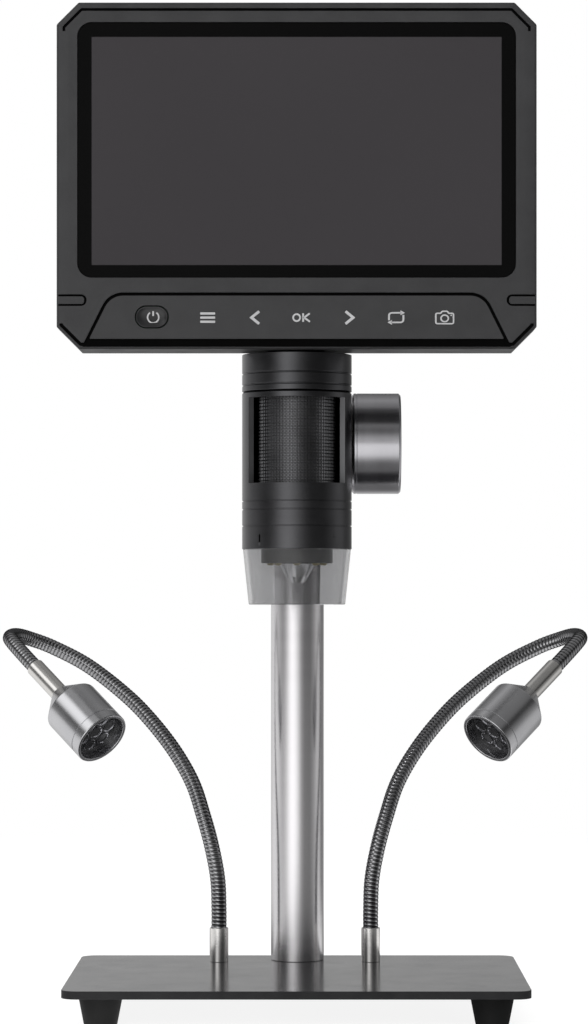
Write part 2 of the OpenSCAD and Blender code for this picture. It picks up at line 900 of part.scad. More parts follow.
module lamp_lens(side) {
    color("black")
        at_lamp(side)
            difference() {
                ring_z(lamp_board_r, 0, lamp_board_z + board_t, lens_front);
                ring_z(lamp_board_r - 1.1, 0, lamp_board_z, lens_front - lens_plate_t);
                for (i = [0 : lens_cups])
                    rotate([0, 0, i * 360 / lens_cups])
                        translate([i < lens_cups ? cup_ring_r : 0, 0, 0]) {
                            translate([0, 0, lens_front - lens_plate_t / 2])
                                cylinder(r = cup_r, h = lens_plate_t);
                            cylinder(r = cup_r * 0.6, h = far);
                        }
            }
}

// ---- slide, arm and clamp ----

module post_sleeve() {
    z0 = arm_z - arm_h / 2 - passing - sleeve_flange_t;
    color("black") {
        ring_z(sleeve_r, post_d / 2 + running, z0, z0 + sleeve_h);
        ring_z(sleeve_r + sleeve_flange_w, post_d / 2 + running, z0, z0 + sleeve_flange_t);
    }
}

module arm() {
    color("darkslategray")
        difference() {
            translate([0, 0, arm_z]) {
                ring_z(collar_r, sleeve_r + running, -arm_h / 2, arm_h / 2);
                difference() {
                    block([-arm_w / 2, -tube_reach, -arm_h / 2],
                        [arm_w / 2, -sleeve_r * 0.6, arm_h / 2]);
                    translate([0, 0, -far / 2]) cylinder(r = sleeve_r + running, h = far);
                }
                difference() {
                    rod_y(clamp_head_d / 4 + 0.5, 0, boss_end);
                    translate([0, 0, -far / 2]) cylinder(r = sleeve_r + running, h = far);
                }
                translate([0, pinion_y - tube_reach, 0])
                    rod_x(boss_r, arm_w / 2 - 2, boss_x);
            }
            // The tube's place, the shaft's bore and the screws' holes
            translate([0, -tube_reach, 0]) cylinder(r = tube_r + snug, h = far);
            translate([0, -tube_reach, arm_z]) drive_cuts();
            translate([0, 0, arm_z]) rod_y(clamp_d / 2 + running, 0, far);
            translate([0, -tube_reach, arm_z])
                for (x = [-1, 1], z = [-1, 1])
                    translate([x * arm_screw_x, 0, z * arm_screw_z])
                        rod_y(arm_screw_d / 2 + snug, 0, arm_screw_seat + arm_screw_l + 0.5);
        }
}

module arm_screws() {
    color("silver")
        translate([0, -tube_reach, arm_z])
            for (x = [-1, 1], z = [-1, 1])
                translate([x * arm_screw_x, arm_screw_seat, z * arm_screw_z]) {
                    rod_y(arm_screw_d / 2, 0, arm_screw_l);
                    rod_y(arm_screw_head_d / 2, -arm_screw_head_h, 0);
                }
}

module clamp_screw() {
    head_y = boss_end + clamp_gap;
    color("black")
        translate([0, 0, arm_z])
            difference() {
                union() {
                    rod_y(clamp_d / 2, sleeve_r + passing, head_y + 1);
                    rod_y(clamp_head_d / 2, head_y, head_y + clamp_head_l);
                }
                for (i = [0 : 7])
                    rotate([0, 22.5 + 45 * i, 0])
                        translate([clamp_head_d / 2 + 1.2, 0, 0]) rod_y(2.2, head_y - 1, far);
            }
}

// ---- tube ----

// A turned groove around the tube
module groove(z) {
    ring_z(tube_r + 1, tube_r - groove_depth, z - groove_w / 2, z + groove_w / 2);
}

// The pinion's chamber and the bore for the shaft's bushes
module drive_cuts() {
    translate([0, pinion_y, 0]) {
        rod_x(chamber_r, -rack_w / 2 - passing, rack_w / 2 + passing);
        rod_x(bush_r + snug, shaft_left - 0.5, far);
    }
}

// Cuts through the tube's rear wall, for the drive and for the arm's screws
module tube_rear_cuts() {
    drive_cuts();
    for (x = [-1, 1], z = [-1, 1])
        translate([x * arm_screw_x, 0, z * arm_screw_z]) {
            rod_y(arm_screw_d / 2 + snug, 0, far);
            rod_y(arm_screw_head_d / 2 + snug, 0, arm_screw_seat);
        }
}

module tube_body() {
    color("dimgray")
        difference() {
            rotate_extrude()
                polygon([
                    [nose_d / 2 + snug, tube_bottom],
                    [tube_r, tube_bottom],
                    [tube_r, tube_top - tube_bevel],
                    [tube_r - tube_bevel, tube_top],
                    [tube_r - rabbet_wall - snug, tube_top],
                    [tube_r - rabbet_wall - snug, tube_top + rabbet_h - 0.1],
                    [bore_r, tube_top + rabbet_h - 0.1],
                    [bore_r, tube_bottom + tube_floor_t],
                    [nose_d / 2 + snug, tube_bottom + tube_floor_t]
                ]);
            for (rise = tube_grooves) groove(tube_bottom + rise);
            translate([0, 0, -window_drop])
                linear_extrude(window_h)
                    polygon([
                        [0, 0],
                        2 * tube_d * [-sin(window_half_angle), -cos(window_half_angle)],
                        [0, -3 * tube_d],
                        2 * tube_d * [sin(window_half_angle), -cos(window_half_angle)]
                    ]);
            tube_rear_cuts();
            // A small upright slot and a round dimple near the lower edge
            translate([-mark_x, -tube_r, tube_bottom + 3.2])
                cube([1, 2 * (tube_r - sqrt(pow(tube_r, 2) - pow(mark_x, 2))) + 1.6, 4.7],
                    center = true);
            translate([mark_x, 0, tube_bottom + 4.8])
                rod_y(0.6, -far, -sqrt(pow(tube_r, 2) - pow(mark_x, 2)) + 0.6);
        }
}

module tube_cap() {
    color("dimgray") {
        difference() {
            union() {
                ring_z(tube_r, bore_r, tube_top, cap_top - cap_roof_t);
                ring_z(tube_r, 0, cap_top - cap_roof_t, cap_top);
            }
            ring_z(tube_r - rabbet_wall, 0, tube_top - 1, tube_top + rabbet_h);
            for (rise = cap_grooves) groove(tube_top + rise);
        }
        translate([0, hinge_back, cap_top])
            for (side = [-1, 1])
                translate([side * (knuckle_w / 2 + passing + ear_t / 2), 0, 0])
                    difference() {
                        union() {
                            block([-ear_t / 2, -hinge_r, -0.5],
                                [ear_t / 2, hinge_r, hinge_rise]);
                            translate([0, 0, hinge_rise]) rod_x(hinge_r, -ear_t / 2, ear_t / 2);
                        }
                        translate([0, 0, hinge_rise]) rod_x(pin_d / 2 + snug, -far, far);
                    }
    }
}

module hinge_pin() {
    half = knuckle_w / 2 + passing + ear_t;
    color("silver") {
        rod_x(pin_d / 2, -half, half);
        rod_x(pin_d / 2 + 1, half, half + 1);
    }
}

module light_ring() {
    z0 = tube_bottom - light_ring_h;
    color("black") {
        ring_z(light_ring_d / 2, nose_d / 2 + snug, z0, tube_bottom);
        for (i = [0 : light_points - 1])
            rotate([0, 0, i * 360 / light_points])
                translate([(light_ring_d + nose_d) / 4, 0, z0 - 0.8])
                    cylinder(r = 1.4, h = 1.3);
    }
}

module nose_cone() {
    z0 = tube_bottom - light_ring_h + 0.3;
    collar_z = tube_bottom + tube_floor_t;
    wall = 1.2;
    color("gray")
        rotate_extrude()
            polygon([
                [nose_tip_d / 2 - 0.8, z0 - nose_h],
                [nose_tip_d / 2, z0 - nose_h],
                [nose_d / 2, z0],
                [nose_d / 2, collar_z],
                [nose_d / 2 + 3, collar_z],
                [nose_d / 2 + 3, collar_z + 1.5],
                [nose_d / 2 - wall, collar_z + 1.5],
                [nose_d / 2 - wall, z0]
            ]);
}

module clear_shield() {
    color("lightcyan", 0.4)
        rotate_extrude()
            polygon([
                [shield_top_d / 2, tube_bottom],
                [shield_rim_d / 2, tube_bottom - shield_h],
                [shield_rim_d / 2 - shield_wall, tube_bottom - shield_h],
                [shield_top_d / 2 - shield_wall, tube_bottom]
            ]);
}

// ---- focus drive ----

// Angle between an involute's start and its point at one pressure angle
function involute(angle) = tan(angle) * 180 / PI - angle;

function tooth_half_angle(r) =
    90 / pinion_teeth + involute(pressure) - (r > base_r ? involute(acos(base_r / r)) : 0);

module pinion_profile() {
    radii = [
        pinion_r - dedendum,
        base_r,
        for (k = [1 : 5]) base_r + (pinion_r + addendum - base_r) * k / 5
    ];
    last = len(radii) - 1;
    polygon([
        for (i = [0 : pinion_teeth - 1])
            let (mid = -90 + i * 360 / pinion_teeth)
            each concat(
                [for (k = [0 : last])
                    radii[k] * [cos(mid - tooth_half_angle(radii[k])),
                        sin(mid - tooth_half_angle(radii[k]))]],
                [for (k = [0 : last])
                    radii[last - k] * [cos(mid + tooth_half_angle(radii[last - k])),
                        sin(mid + tooth_half_angle(radii[last - k]))]]
            )
    ]);
}

module knob_shaft() {
    color("silver")
        translate([0, pinion_y, 0]) {
            rod_x(shaft_d / 2, shaft_left, knob_x + knob_l * 0.7);
            // Drawn flat with a tooth towards -Y, then turned to lie along X
            translate([-rack_w / 2, 0, 0])
                rotate([0, 90, 0]) linear_extrude(rack_w) pinion_profile();
        }
}

module shaft_bushes() {
    color("goldenrod")
        translate([0, pinion_y, 0])
            difference() {
                union() {
                    rod_x(bush_r, shaft_left - 0.3, -rack_w / 2 - passing);
                    rod_x(bush_r, rack_w / 2 + passing, boss_x);
                }
                rod_x(shaft_d / 2 + running, -far, far);
            }
}

module knob_washer() {
    color("whitesmoke")
        translate([0, pinion_y, 0])
            difference() {
                rod_x(knob_washer_r, knob_x - knob_washer_t, knob_x);
                rod_x(shaft_d / 2 + snug, -far, far);
            }
}

module focus_knob() {
    outer = knob_d / 2;
    hub = shaft_d / 2 + snug;
    shaft_end = knob_l * 0.7 + 0.3;
    color("silver")
        translate([knob_x, pinion_y, 0])
            rotate([0, 90, 0])
                rotate_extrude()
                    polygon([
                        [hub, 0], [outer - knob_bevel, 0], [outer, knob_bevel],
                        [outer, knob_l - knob_bevel], [outer - knob_bevel, knob_l],
                        [outer - 3, knob_l], [outer - 3.6, knob_l - knob_dish],
                        [0, knob_l - knob_dish], [0, shaft_end], [hub, shaft_end]
                    ]);
}

module lens_carrier() {
    rack_root = rack_line - dedendum;
    color("black") {
        ring_z(barrel_r, barrel_bore_r, flange_top - flange_t, cap_flange_bottom);
        ring_z(flange_r, barrel_bore_r, flange_top - flange_t, flange_top);
        block([-rack_w / 2, ring_r + passing, flange_top - 0.5],
            [rack_w / 2, rack_root, rack_reach + tooth_pitch / 2]);
        // Teeth of the rack, one space level with the pinion's axis
        for (k = [-ceil(rack_reach / tooth_pitch) : ceil(rack_reach / tooth_pitch) - 1])
            translate([-rack_w / 2, rack_line, (k + 0.5) * tooth_pitch])
                rotate([90, 0, 90]) linear_extrude(rack_w) rack_tooth();
    }
}

module rack_tooth() {
    mid = tooth_pitch / 4 - flank_play;
    tip = mid - addendum * tan(pressure);
    foot = mid + dedendum * tan(pressure);
    polygon([
        [-dedendum - 0.2, -foot], [-dedendum, -foot], [addendum, -tip], [addendum, tip],
        [-dedendum, foot], [-dedendum - 0.2, foot]
    ]);
}

module carrier_cap() {
    color("black") {
        ring_z(flange_r, cap_hole_r, cap_flange_bottom, cap_flange_bottom + flange_t);
        ring_z(barrel_bore_r - snug, barrel_bore_r - sensor_plug_wall,
            cap_flange_bottom - sensor_plug_l, cap_flange_bottom + 1);
    }
}

module sensor_board() {
    chip_top = sensor_face + sensor_chip_t;
    color("green")
        intersection() {
            union() {
                translate([-sensor_board_w / 2, -sensor_board_w / 2, chip_top])
                    cube([sensor_board_w, sensor_board_w, board_t]);
                translate([-sensor_chip_w / 2, -sensor_chip_w / 2, sensor_face])
                    cube([sensor_chip_w, sensor_chip_w, sensor_chip_t + 0.1]);
            }
            ring_z(barrel_bore_r - snug, 0, sensor_face, chip_top + board_t);
        }
}

module focus_ring() {
    color("dimgray")
        difference() {
            ring_z(ring_r, barrel_r + running, -ring_half, ring_half);
            for (i = [0 : knurl_count - 1])
                rotate([0, 0, i * 360 / knurl_count])
                    translate([0, ring_r, 0])
                        rotate([0, 0, 45])
                            cube([knurl_depth * sqrt(2), knurl_depth * sqrt(2), far],
                                center = true);
        }
}

module lens_cell() {
    color("gray")
        difference() {
            ring_z(barrel_bore_r - running, lens_r - 1, cell_bottom, cell_bottom + cell_l);
            ring_z(lens_r + snug, 0, cell_bottom + cell_l / 2, cell_bottom + far);
        }
}

module lens() {
    z0 = cell_bottom + cell_l / 2;
    color("lightcyan", 0.5) ring_z(lens_r, 0, z0, z0 + lens_t);
}

// ---- screen ----

// Outline of the case, with bevelled corners, drawn inwards by one distance
module case_outline(inset) {
    w = screen_w / 2 - inset;
    z0 = case_bottom + inset;
    z1 = case_top - inset;
    c = screen_corner - inset * (2 - sqrt(2));
    polygon([
        [-w, z0 + c], [-w + c, z0], [w - c, z0], [w, z0 + c],
        [w, z1 - c], [w - c, z1], [-w + c, z1], [-w, z1 - c]
    ]);
}

// Outline of the key film with its upper corners rounded, grown at the top and the sides,
// and drawn further down at the bottom
module film_outline(grow, drop) {
    lean = atan((film_bottom_w - film_top_w) / 2 / film_h);
    top = film_bottom + film_h + grow;
    half_low = film_bottom_w / 2 + grow / cos(lean) + drop * tan(lean);
    half_high = half_low - (film_h + grow + drop) * tan(lean);
    round_r = film_round + grow;
    cut = round_r * tan(45 - lean / 2);
    polygon([
        [-half_low, film_bottom - drop], [half_low, film_bottom - drop],
        [half_high + cut * sin(lean), top - cut * cos(lean)], [half_high - cut, top],
        [cut - half_high, top], [-half_high - cut * sin(lean), top - cut * cos(lean)]
    ]);
    for (side = [-1, 1]) translate([side * (half_high - cut), top - round_r]) circle(round_r);
}

// Places of the keys, from the left
function key_x(i) = key_first + i * key_pitch;

// Rods at the places of the case's screws
module case_rods(r, y0, y1) {
    for (side = [-1, 1], rise = case_screw_z)
        translate([side * case_screw_x, 0, case_bottom + rise])
            rod_y(r, y0, y1);
}

module front_bezel() {
    color("gray")
        difference() {
            union() {
                slab_y(case_front, front_back) case_outline(0);
                slab_y(front_back - 0.5, parting)
                    difference() {
                        case_outline(0);
                        case_outline(screen_wall);
                    }
                case_rods(case_boss_d / 2, front_back - 0.5, parting);
            }
            // Seat of the glass and the picture's opening
            translate([0, 0, glass_z])
                slab_y(case_front - 1, glass_back)
                    round_rect(glass_w + 2 * glass_gap, glass_h + 2 * glass_gap, glass_corner_r);
            translate([0, 0, picture_z])
                slab_y(case_front - 1, front_back + 1)
                    square([picture_w, picture_h] + 2 * picture_edge * [1, 1], center = true);
            // Seat of the film, holes of the keys and of the power button
            slab_y(case_front - 1, film_back) film_outline(film_gap, film_band);
            for (i = [0 : key_count - 1])
                translate([key_x(i), 0, key_z])
                    slab_y(case_front, front_back + 1)
                        obround(key_w + 2 * passing, key_h + 2 * passing);
            translate([power_x, 0, key_z])
                slab_y(case_front, front_back + 1)
                    obround(power_w + 2 * passing, power_h + 2 * passing);
            // Fine groove along the top, and a long notch at each side
            slab_y(case_front - 1, case_front + strip_groove_depth)
                intersection() {
                    difference() {
                        case_outline(strip_w);
                        case_outline(strip_w + strip_groove_w);
                    }
                    translate([-far / 2, case_top - strip_w - screen_corner])
                        square([far, far]);
                }
            for (side = [-1, 1])
                translate([side * (screen_w / 2 - 1 - notch_w / 2), 0, case_bottom + notch_level])
                    slab_y(case_front - 1, case_front + notch_depth) obround(notch_w, notch_h);
            case_rods(case_screw_d / 2 + snug, parting - case_screw_l + 3, parting + 1);
        }
}

module rear_shell() {
    color("dimgray")
        difference() {
            union() {
                slab_y(back_in, case_back) case_outline(0);
                slab_y(parting, back_in + 0.5)
                    difference() {
                        case_outline(0);
                        case_outline(screen_wall);
                    }
                case_rods(case_boss_d / 2, parting, back_in + 0.5);
                // Posts that carry the main board
                for (x = [-1, 1], z = [-1, 1])
                    translate([board_x + x * (board_w / 2 - 4), 0, board_z + z * (board_h / 2 - 4)])
                        rod_y(board_post_d / 2, board_y + board_t, back_in + 0.5);
                // Knuckle of the hinge
                rod_x(hinge_r, -knuckle_w / 2, knuckle_w / 2);
                block([-knuckle_w / 2, case_back - 0.5, -hinge_r],
                    [knuckle_w / 2, 0, hinge_r]);
            }
            rod_x(pin_d / 2 + running, -far, far);
            case_rods(case_screw_d / 2 + snug, parting - 1, case_back + 1);
            case_rods(case_screw_d, case_back - 1.6, case_back + 1);
            // Openings of the ports in the right side, and the vents at the back
            for (p = port_list)
                translate([screen_w / 2, board_y + board_t + p[2] / 2, board_z + p[0]])
                    cube([4 * screen_wall, p[2] + 2 * snug, p[1] + 2 * snug], center = true);
            for (i = [0 : vent_count - 1])
                translate([0, case_back, case_top - 24 - i * vent_pitch])
                    cube([vent_w, 4 * screen_wall, vent_h], center = true);
        }
}

module lcd_panel() {
    color("black")
        translate([0, 0, picture_z])
            slab_y(front_back, front_back + lcd_t) square([lcd_w, lcd_h], center = true);
}

module screen_glass() {
    color("darkslategray", 0.5)
        translate([0, 0, glass_z])
            slab_y(glass_front, glass_back)
                round_rect(glass_w, glass_h, glass_corner_r - glass_gap);
}

module key_film() {
    color("dimgray")
        difference() {
            slab_y(film_front, film_back) film_outline(0, 0);
            translate([power_x, 0, key_z])
                slab_y(case_front, film_back + 1)
                    obround(power_w + 2 * passing, power_h + 2 * passing);
        }
}

// A key or a button that slides in the bezel, held by its flange
module push_key(w, h, front) {
    slab_y(front, key_flange_front + 0.1) obround(w, h);
    slab_y(key_flange_front, key_flange_front + key_flange_t)
        obround(w + 2 * key_flange_w, h + 2 * key_flange_w);
}

module panel_key(i) {
    color("black") translate([key_x(i), 0, key_z]) push_key(key_w, key_h, key_front);
}

module power_button() {
    color("gray") translate([power_x, 0, key_z]) push_key(power_w, power_h, power_front);
}

module key_board() {
    color("green") {
        block([power_x - key_board_end, key_board_y, key_z - key_board_h / 2],
            [key_x(key_count - 1) + key_board_end, key_board_y + board_t, key_z + key_board_h / 2]);
        for (i = [0 : key_count - 1])
            translate([key_x(i), 0, key_z])
                block([-3, switch_top, -3], [3, key_board_y + 0.1, 3]);
        translate([power_x, 0, key_z])
            block([-3, power_switch_top, -3], [3, key_board_y + 0.1, 3]);
    }
}

module main_board() {
    color("green")
        translate([board_x, 0, board_z])
            slab_y(board_y, board_y + board_t) square([board_w, board_h], center = true);
}

module battery() {
    color("lightblue")
        translate([board_x - battery_shift, 0, board_z])
            block([-battery_w / 2, back_in - battery_t, -battery_h / 2],
                [battery_w / 2, back_in, battery_h / 2]);
}

module ports() {
    edge = screen_w / 2 - 0.4;
    color("silver")
        for (p = port_list)
            translate([edge, board_y + board_t + p[2] / 2, board_z + p[0]])
                difference() {
                    block([-port_depth - 1, -p[2] / 2, -p[1] / 2], [0, p[2] / 2, p[1] / 2]);
                    block([-port_depth, -p[2] / 2 + port_skin, -p[1] / 2 + port_skin],
                        [1, p[2] / 2 - port_skin, p[1] / 2 - port_skin]);
                }
}

module case_screws() {
    color("silver") {
        case_rods(case_screw_d / 2, parting - case_screw_l + 3.5, case_back - 1.6);
        case_rods(case_screw_d - snug, case_back - 1.6, case_back - 0.2);
    }
}

// ---- assembly ----

at_post() base_plate();
at_post() rubber_feet();
at_post() foot_screws();
at_post() post();
at_post() post_screw();
at_post() post_cap();
lamp_socket(-1);  // left_socket
lamp_socket(1);  // right_socket
socket_nuts();
at_post() driver_case();
at_post() driver_inlet();
neck_lower(-1);  // left_neck_lower
neck_lower(1);  // right_neck_lower
neck_upper(-1);  // left_neck_upper
neck_upper(1);  // right_neck_upper
lamp_ferrule(-1);  // left_lamp_ferrule
lamp_can(-1);  // left_lamp_can
lamp_board(-1);  // left_lamp_board
lamp_lens(-1);  // left_lamp_lens
lamp_ferrule(1);  // right_lamp_ferrule
lamp_can(1);  // right_lamp_can
lamp_board(1);  // right_lamp_board
lamp_lens(1);  // right_lamp_lens
at_post() post_sleeve();
at_post() arm();
at_post() arm_screws();
at_tube() tube_body();
at_tube() tube_cap();
at_hinge() hinge_pin();
at_tube() light_ring();
at_tube() nose_cone();
at_tube() clear_shield();
at_tube() shaft_bushes();
at_post() clamp_screw();
at_tube() focus_knob();
at_tube() knob_shaft();
at_tube() knob_washer();
at_tube() lens_carrier();
at_tube() carrier_cap();
at_tube() sensor_board();
at_tube() focus_ring();
at_tube() lens_cell();
at_tube() lens();
at_hinge() front_bezel();
at_hinge() rear_shell();
at_hinge() lcd_panel();
at_hinge() screen_glass();
at_hinge() key_film();
at_hinge() key_board();
at_hinge() main_board();
at_hinge() battery();
at_hinge() ports();
at_hinge() case_screws();
at_hinge() power_button();
at_hinge() panel_key(0);  // menu_key
at_hinge() panel_key(1);  // left_key
at_hinge() panel_key(2);  // ok_key
at_hinge() panel_key(3);  // right_key
at_hinge() panel_key(4);  // rotate_key
at_hinge() panel_key(5);  // camera_key
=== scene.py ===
"""Dresses a desk microscope with a screen around its CAD frame. Metres, +Z up, front to -Y."""

import math

import bmesh
import bpy
from mathutils import Euler, Matrix, Vector
from mathutils.geometry import tessellate_polygon
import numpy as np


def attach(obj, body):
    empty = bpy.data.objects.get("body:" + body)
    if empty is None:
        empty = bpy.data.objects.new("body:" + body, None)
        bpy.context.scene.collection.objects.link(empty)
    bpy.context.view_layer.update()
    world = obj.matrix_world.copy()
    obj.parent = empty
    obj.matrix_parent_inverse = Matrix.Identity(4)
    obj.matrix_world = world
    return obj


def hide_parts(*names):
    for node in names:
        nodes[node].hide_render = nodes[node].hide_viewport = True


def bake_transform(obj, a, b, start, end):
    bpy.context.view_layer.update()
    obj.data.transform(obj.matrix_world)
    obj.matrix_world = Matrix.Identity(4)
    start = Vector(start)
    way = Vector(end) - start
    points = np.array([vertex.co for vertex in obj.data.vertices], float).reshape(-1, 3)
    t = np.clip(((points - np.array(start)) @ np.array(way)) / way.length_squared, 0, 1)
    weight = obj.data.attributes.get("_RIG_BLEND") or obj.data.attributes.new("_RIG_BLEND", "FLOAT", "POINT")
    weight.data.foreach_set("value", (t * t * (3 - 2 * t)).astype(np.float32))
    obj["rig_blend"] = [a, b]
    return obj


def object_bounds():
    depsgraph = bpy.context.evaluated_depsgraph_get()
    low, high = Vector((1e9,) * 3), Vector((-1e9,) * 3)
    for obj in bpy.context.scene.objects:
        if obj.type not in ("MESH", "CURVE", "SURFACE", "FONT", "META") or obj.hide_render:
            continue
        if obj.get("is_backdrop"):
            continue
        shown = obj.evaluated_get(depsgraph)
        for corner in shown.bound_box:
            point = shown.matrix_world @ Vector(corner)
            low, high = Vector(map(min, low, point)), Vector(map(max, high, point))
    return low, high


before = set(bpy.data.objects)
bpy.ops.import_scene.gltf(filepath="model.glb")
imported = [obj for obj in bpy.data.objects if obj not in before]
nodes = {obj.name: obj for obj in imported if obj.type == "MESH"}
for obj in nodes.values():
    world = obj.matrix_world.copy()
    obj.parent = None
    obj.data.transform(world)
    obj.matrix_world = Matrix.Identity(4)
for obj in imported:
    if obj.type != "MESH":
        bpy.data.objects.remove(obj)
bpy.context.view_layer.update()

# ---- Studio ----
# A level camera 1.3 m in front of the post, three soft lamps, a white room and a pale floor.
# The eye sees them white. Gloss sees grey walls with bright strips and dark gaps between them.

MM = 0.001
WHITE = (1, 1, 1, 1)
scene = bpy.context.scene
scene.view_settings.view_transform = "Standard"


def linear(colour):
    """A linear RGBA colour from an sRGB hex value such as 7a7b7d."""
    parts = [int(colour[i : i + 2], 16) / 255 for i in (0, 2, 4)]
    return [c / 12.92 if c <= 0.04045 else ((c + 0.055) / 1.055) ** 2.4 for c in parts] + [1.0]


def add(tree, kind, inputs=None, **settings):
    """Adds a node to a tree, with its settings, and fills or links its inputs."""
    node = tree.nodes.new(kind)
    for name, value in settings.items():
        setattr(node, name, value)
    for name, value in (inputs or {}).items():
        if isinstance(value, bpy.types.NodeSocket):
            tree.links.new(value, node.inputs[name])
        else:
            node.inputs[name].default_value = value
    return node


def out_of(tree, kind, inputs=None, **settings):
    """The first output of a node that is added to a tree."""
    return add(tree, kind, inputs, **settings).outputs[0]


def reckon(tree, operation, *values):
    """The result of a math node."""
    return out_of(tree, "ShaderNodeMath", dict(enumerate(values)), operation=operation)


def spread(tree, value, low, high, start=0.0, end=1.0):
    """A value mapped from one span to another."""
    return out_of(tree, "ShaderNodeMapRange", {0: value, 1: low, 2: high, 3: start, 4: end})


def mixed(tree, share, first, second, how="MIX"):
    """Two colours mixed by a share, multiplied or added."""
    colours = {0: share, 6: first, 7: second}
    return add(tree, "ShaderNodeMix", colours, data_type="RGBA", blend_type=how).outputs[2]


def ramp(tree, value, stops):
    """The grey of a value on a ramp of (place, grey) stops."""
    node = add(tree, "ShaderNodeValToRGB", {0: value})
    elements = node.color_ramp.elements
    while len(elements) < len(stops):
        elements.new(1.0)
    for element, (place, grey) in zip(elements, stops):
        element.position = place
        element.color = (grey, grey, grey, 1)
    return node.outputs["Color"]


def compass(tree, way):
    """The turn of a direction round the stand, from 0 to 1 with the camera at 0.5."""
    front = reckon(tree, "MULTIPLY", way[1], -1.0)
    return spread(tree, reckon(tree, "ARCTAN2", way[0], front), -math.pi, math.pi)


def by_eye(tree, rays):
    """1 for rays from the camera and for those that came through something clear."""
    return reckon(tree, "MAXIMUM", rays["Is Camera Ray"], rays["Is Transmission Ray"])


def new_piece(name, data):
    """Puts a mesh, a curve, a camera or a lamp into the scene under a plain name."""
    piece = bpy.data.objects.new(name, data)
    scene.collection.objects.link(piece)
    return piece


def new_surface(name):
    """A new material, its tree and its shader."""
    made = bpy.data.materials.new(name)
    made.use_nodes = True
    return made, made.node_tree, made.node_tree.nodes["Principled BSDF"]


camera = new_piece("camera", bpy.data.cameras.new("camera"))
camera.location = (0.0064, -1.2742, 0.1602)
camera.rotation_euler = (math.radians(90), 0, 0)
camera.data.sensor_width = 36
camera.data.lens = 115.3
camera.data.shift_x = -0.0166
camera.data.shift_y = 0.0781
scene.camera = camera

for name, place, size, power in (
    ("key_lamp", (-1.1, -1.7, 1.5), 1.3, 34),
    ("fill_lamp", (1.5, -1.3, 0.9), 1.2, 13),
    ("back_lamp", (0.4, 1.8, 1.6), 1.2, 14),
):
    lamp = new_piece(name, bpy.data.lights.new(name, "AREA"))
    lamp.location = place
    lamp.rotation_euler = (Vector((0, 0, 0.2)) - Vector(place)).to_track_quat("-Z", "Y").to_euler()
    lamp.data.size = size
    lamp.data.energy = power
    lamp.visible_glossy = False

# Walls round the room, from behind by the left to behind by the right; 0.5 is the camera
WALLS = (
    (0.0, 0.45), (0.114, 0.62), (0.18, 0.5), (0.23, 0.33), (0.27, 0.20), (0.317, 0.07),
    (0.347, 0.08), (0.375, 0.27), (0.406, 0.75), (0.43, 1.05), (0.456, 1.0), (0.483, 0.66),
    (0.511, 0.32), (0.544, 0.14), (0.583, 0.06), (0.667, 0.06), (0.714, 0.17), (0.756, 0.36),
    (0.794, 0.38), (0.839, 0.15), (0.917, 0.15), (1.0, 0.45),
)
# The floor far off in the same directions, which polished steel sees low down
FLOOR_RING = (
    (0.0, 0.45), (0.083, 0.55), (0.15, 0.72), (0.235, 0.75), (0.275, 0.58), (0.311, 0.50),
    (0.356, 0.72), (0.394, 1.05), (0.422, 1.2), (0.478, 1.2), (0.511, 0.95), (0.544, 0.45),
    (0.583, 0.24), (0.661, 0.2), (0.722, 0.34), (0.77, 0.5), (0.817, 0.46), (0.85, 0.16),
    (0.903, 0.2), (0.958, 0.45), (1.0, 0.45),
)
# The floor near the stand: dark, with white cards at the left, the front left and the right
CARD = (
    (0.0, 0.16), (0.11, 0.16), (0.16, 0.7), (0.32, 0.7), (0.345, 0.45), (0.39, 0.85), (0.45, 0.85),
    (0.49, 0.16), (0.72, 0.1), (0.76, 0.85), (0.86, 0.85), (0.92, 0.16), (1.0, 0.16),
)
# Heights in the room, from straight down to straight up
UPWARDS = (
    (0.0, 0.6), (0.5, 1.0), (0.595, 1.0), (0.671, 0.40), (0.75, 0.10), (0.854, 0.09), (0.91, 0.25),
    (0.953, 0.45), (0.983, 0.30), (1.0, 0.17),
)
# A soft box at the upper left, as a span of angles and one of heights
BOX_AROUND = ((0.28, 0.0), (0.31, 1.0), (0.375, 1.0), (0.41, 0.0))
BOX_UPWARDS = ((0.66, 0.0), (0.72, 1.0), (0.89, 1.0), (0.93, 0.0))
# A faint light from the ceiling, the same all round
CEILING = ((0.0, 0.0), (0.72, 0.0), (0.8, 0.15), (1.0, 0.15))
ROOM_LEVEL = 1.2
world = bpy.data.worlds.new("studio")
scene.world = world
world.use_nodes = True
tree = world.node_tree
tree.nodes.clear()
direction = add(tree, "ShaderNodeTexCoord").outputs["Generated"]
way = add(tree, "ShaderNodeSeparateXYZ", {0: direction}).outputs
turn = compass(tree, way)
height = spread(tree, way[2], -1.0, 1.0)
room = mixed(tree, 1.0, ramp(tree, turn, WALLS), ramp(tree, height, UPWARDS), "MULTIPLY")
box = mixed(tree, 1.0, ramp(tree, turn, BOX_AROUND), ramp(tree, height, BOX_UPWARDS), "MULTIPLY")
for light in (box, ramp(tree, height, CEILING)):
    room = mixed(tree, 1.0, room, light, "ADD")
room = out_of(tree, "ShaderNodeVectorMath", {0: room, "Scale": ROOM_LEVEL}, operation="SCALE")
shown = mixed(tree, by_eye(tree, add(tree, "ShaderNodeLightPath").outputs), room, WHITE)
background = out_of(tree, "ShaderNodeBackground", {0: shown, 1: 1.0})
add(tree, "ShaderNodeOutputWorld", {0: background})

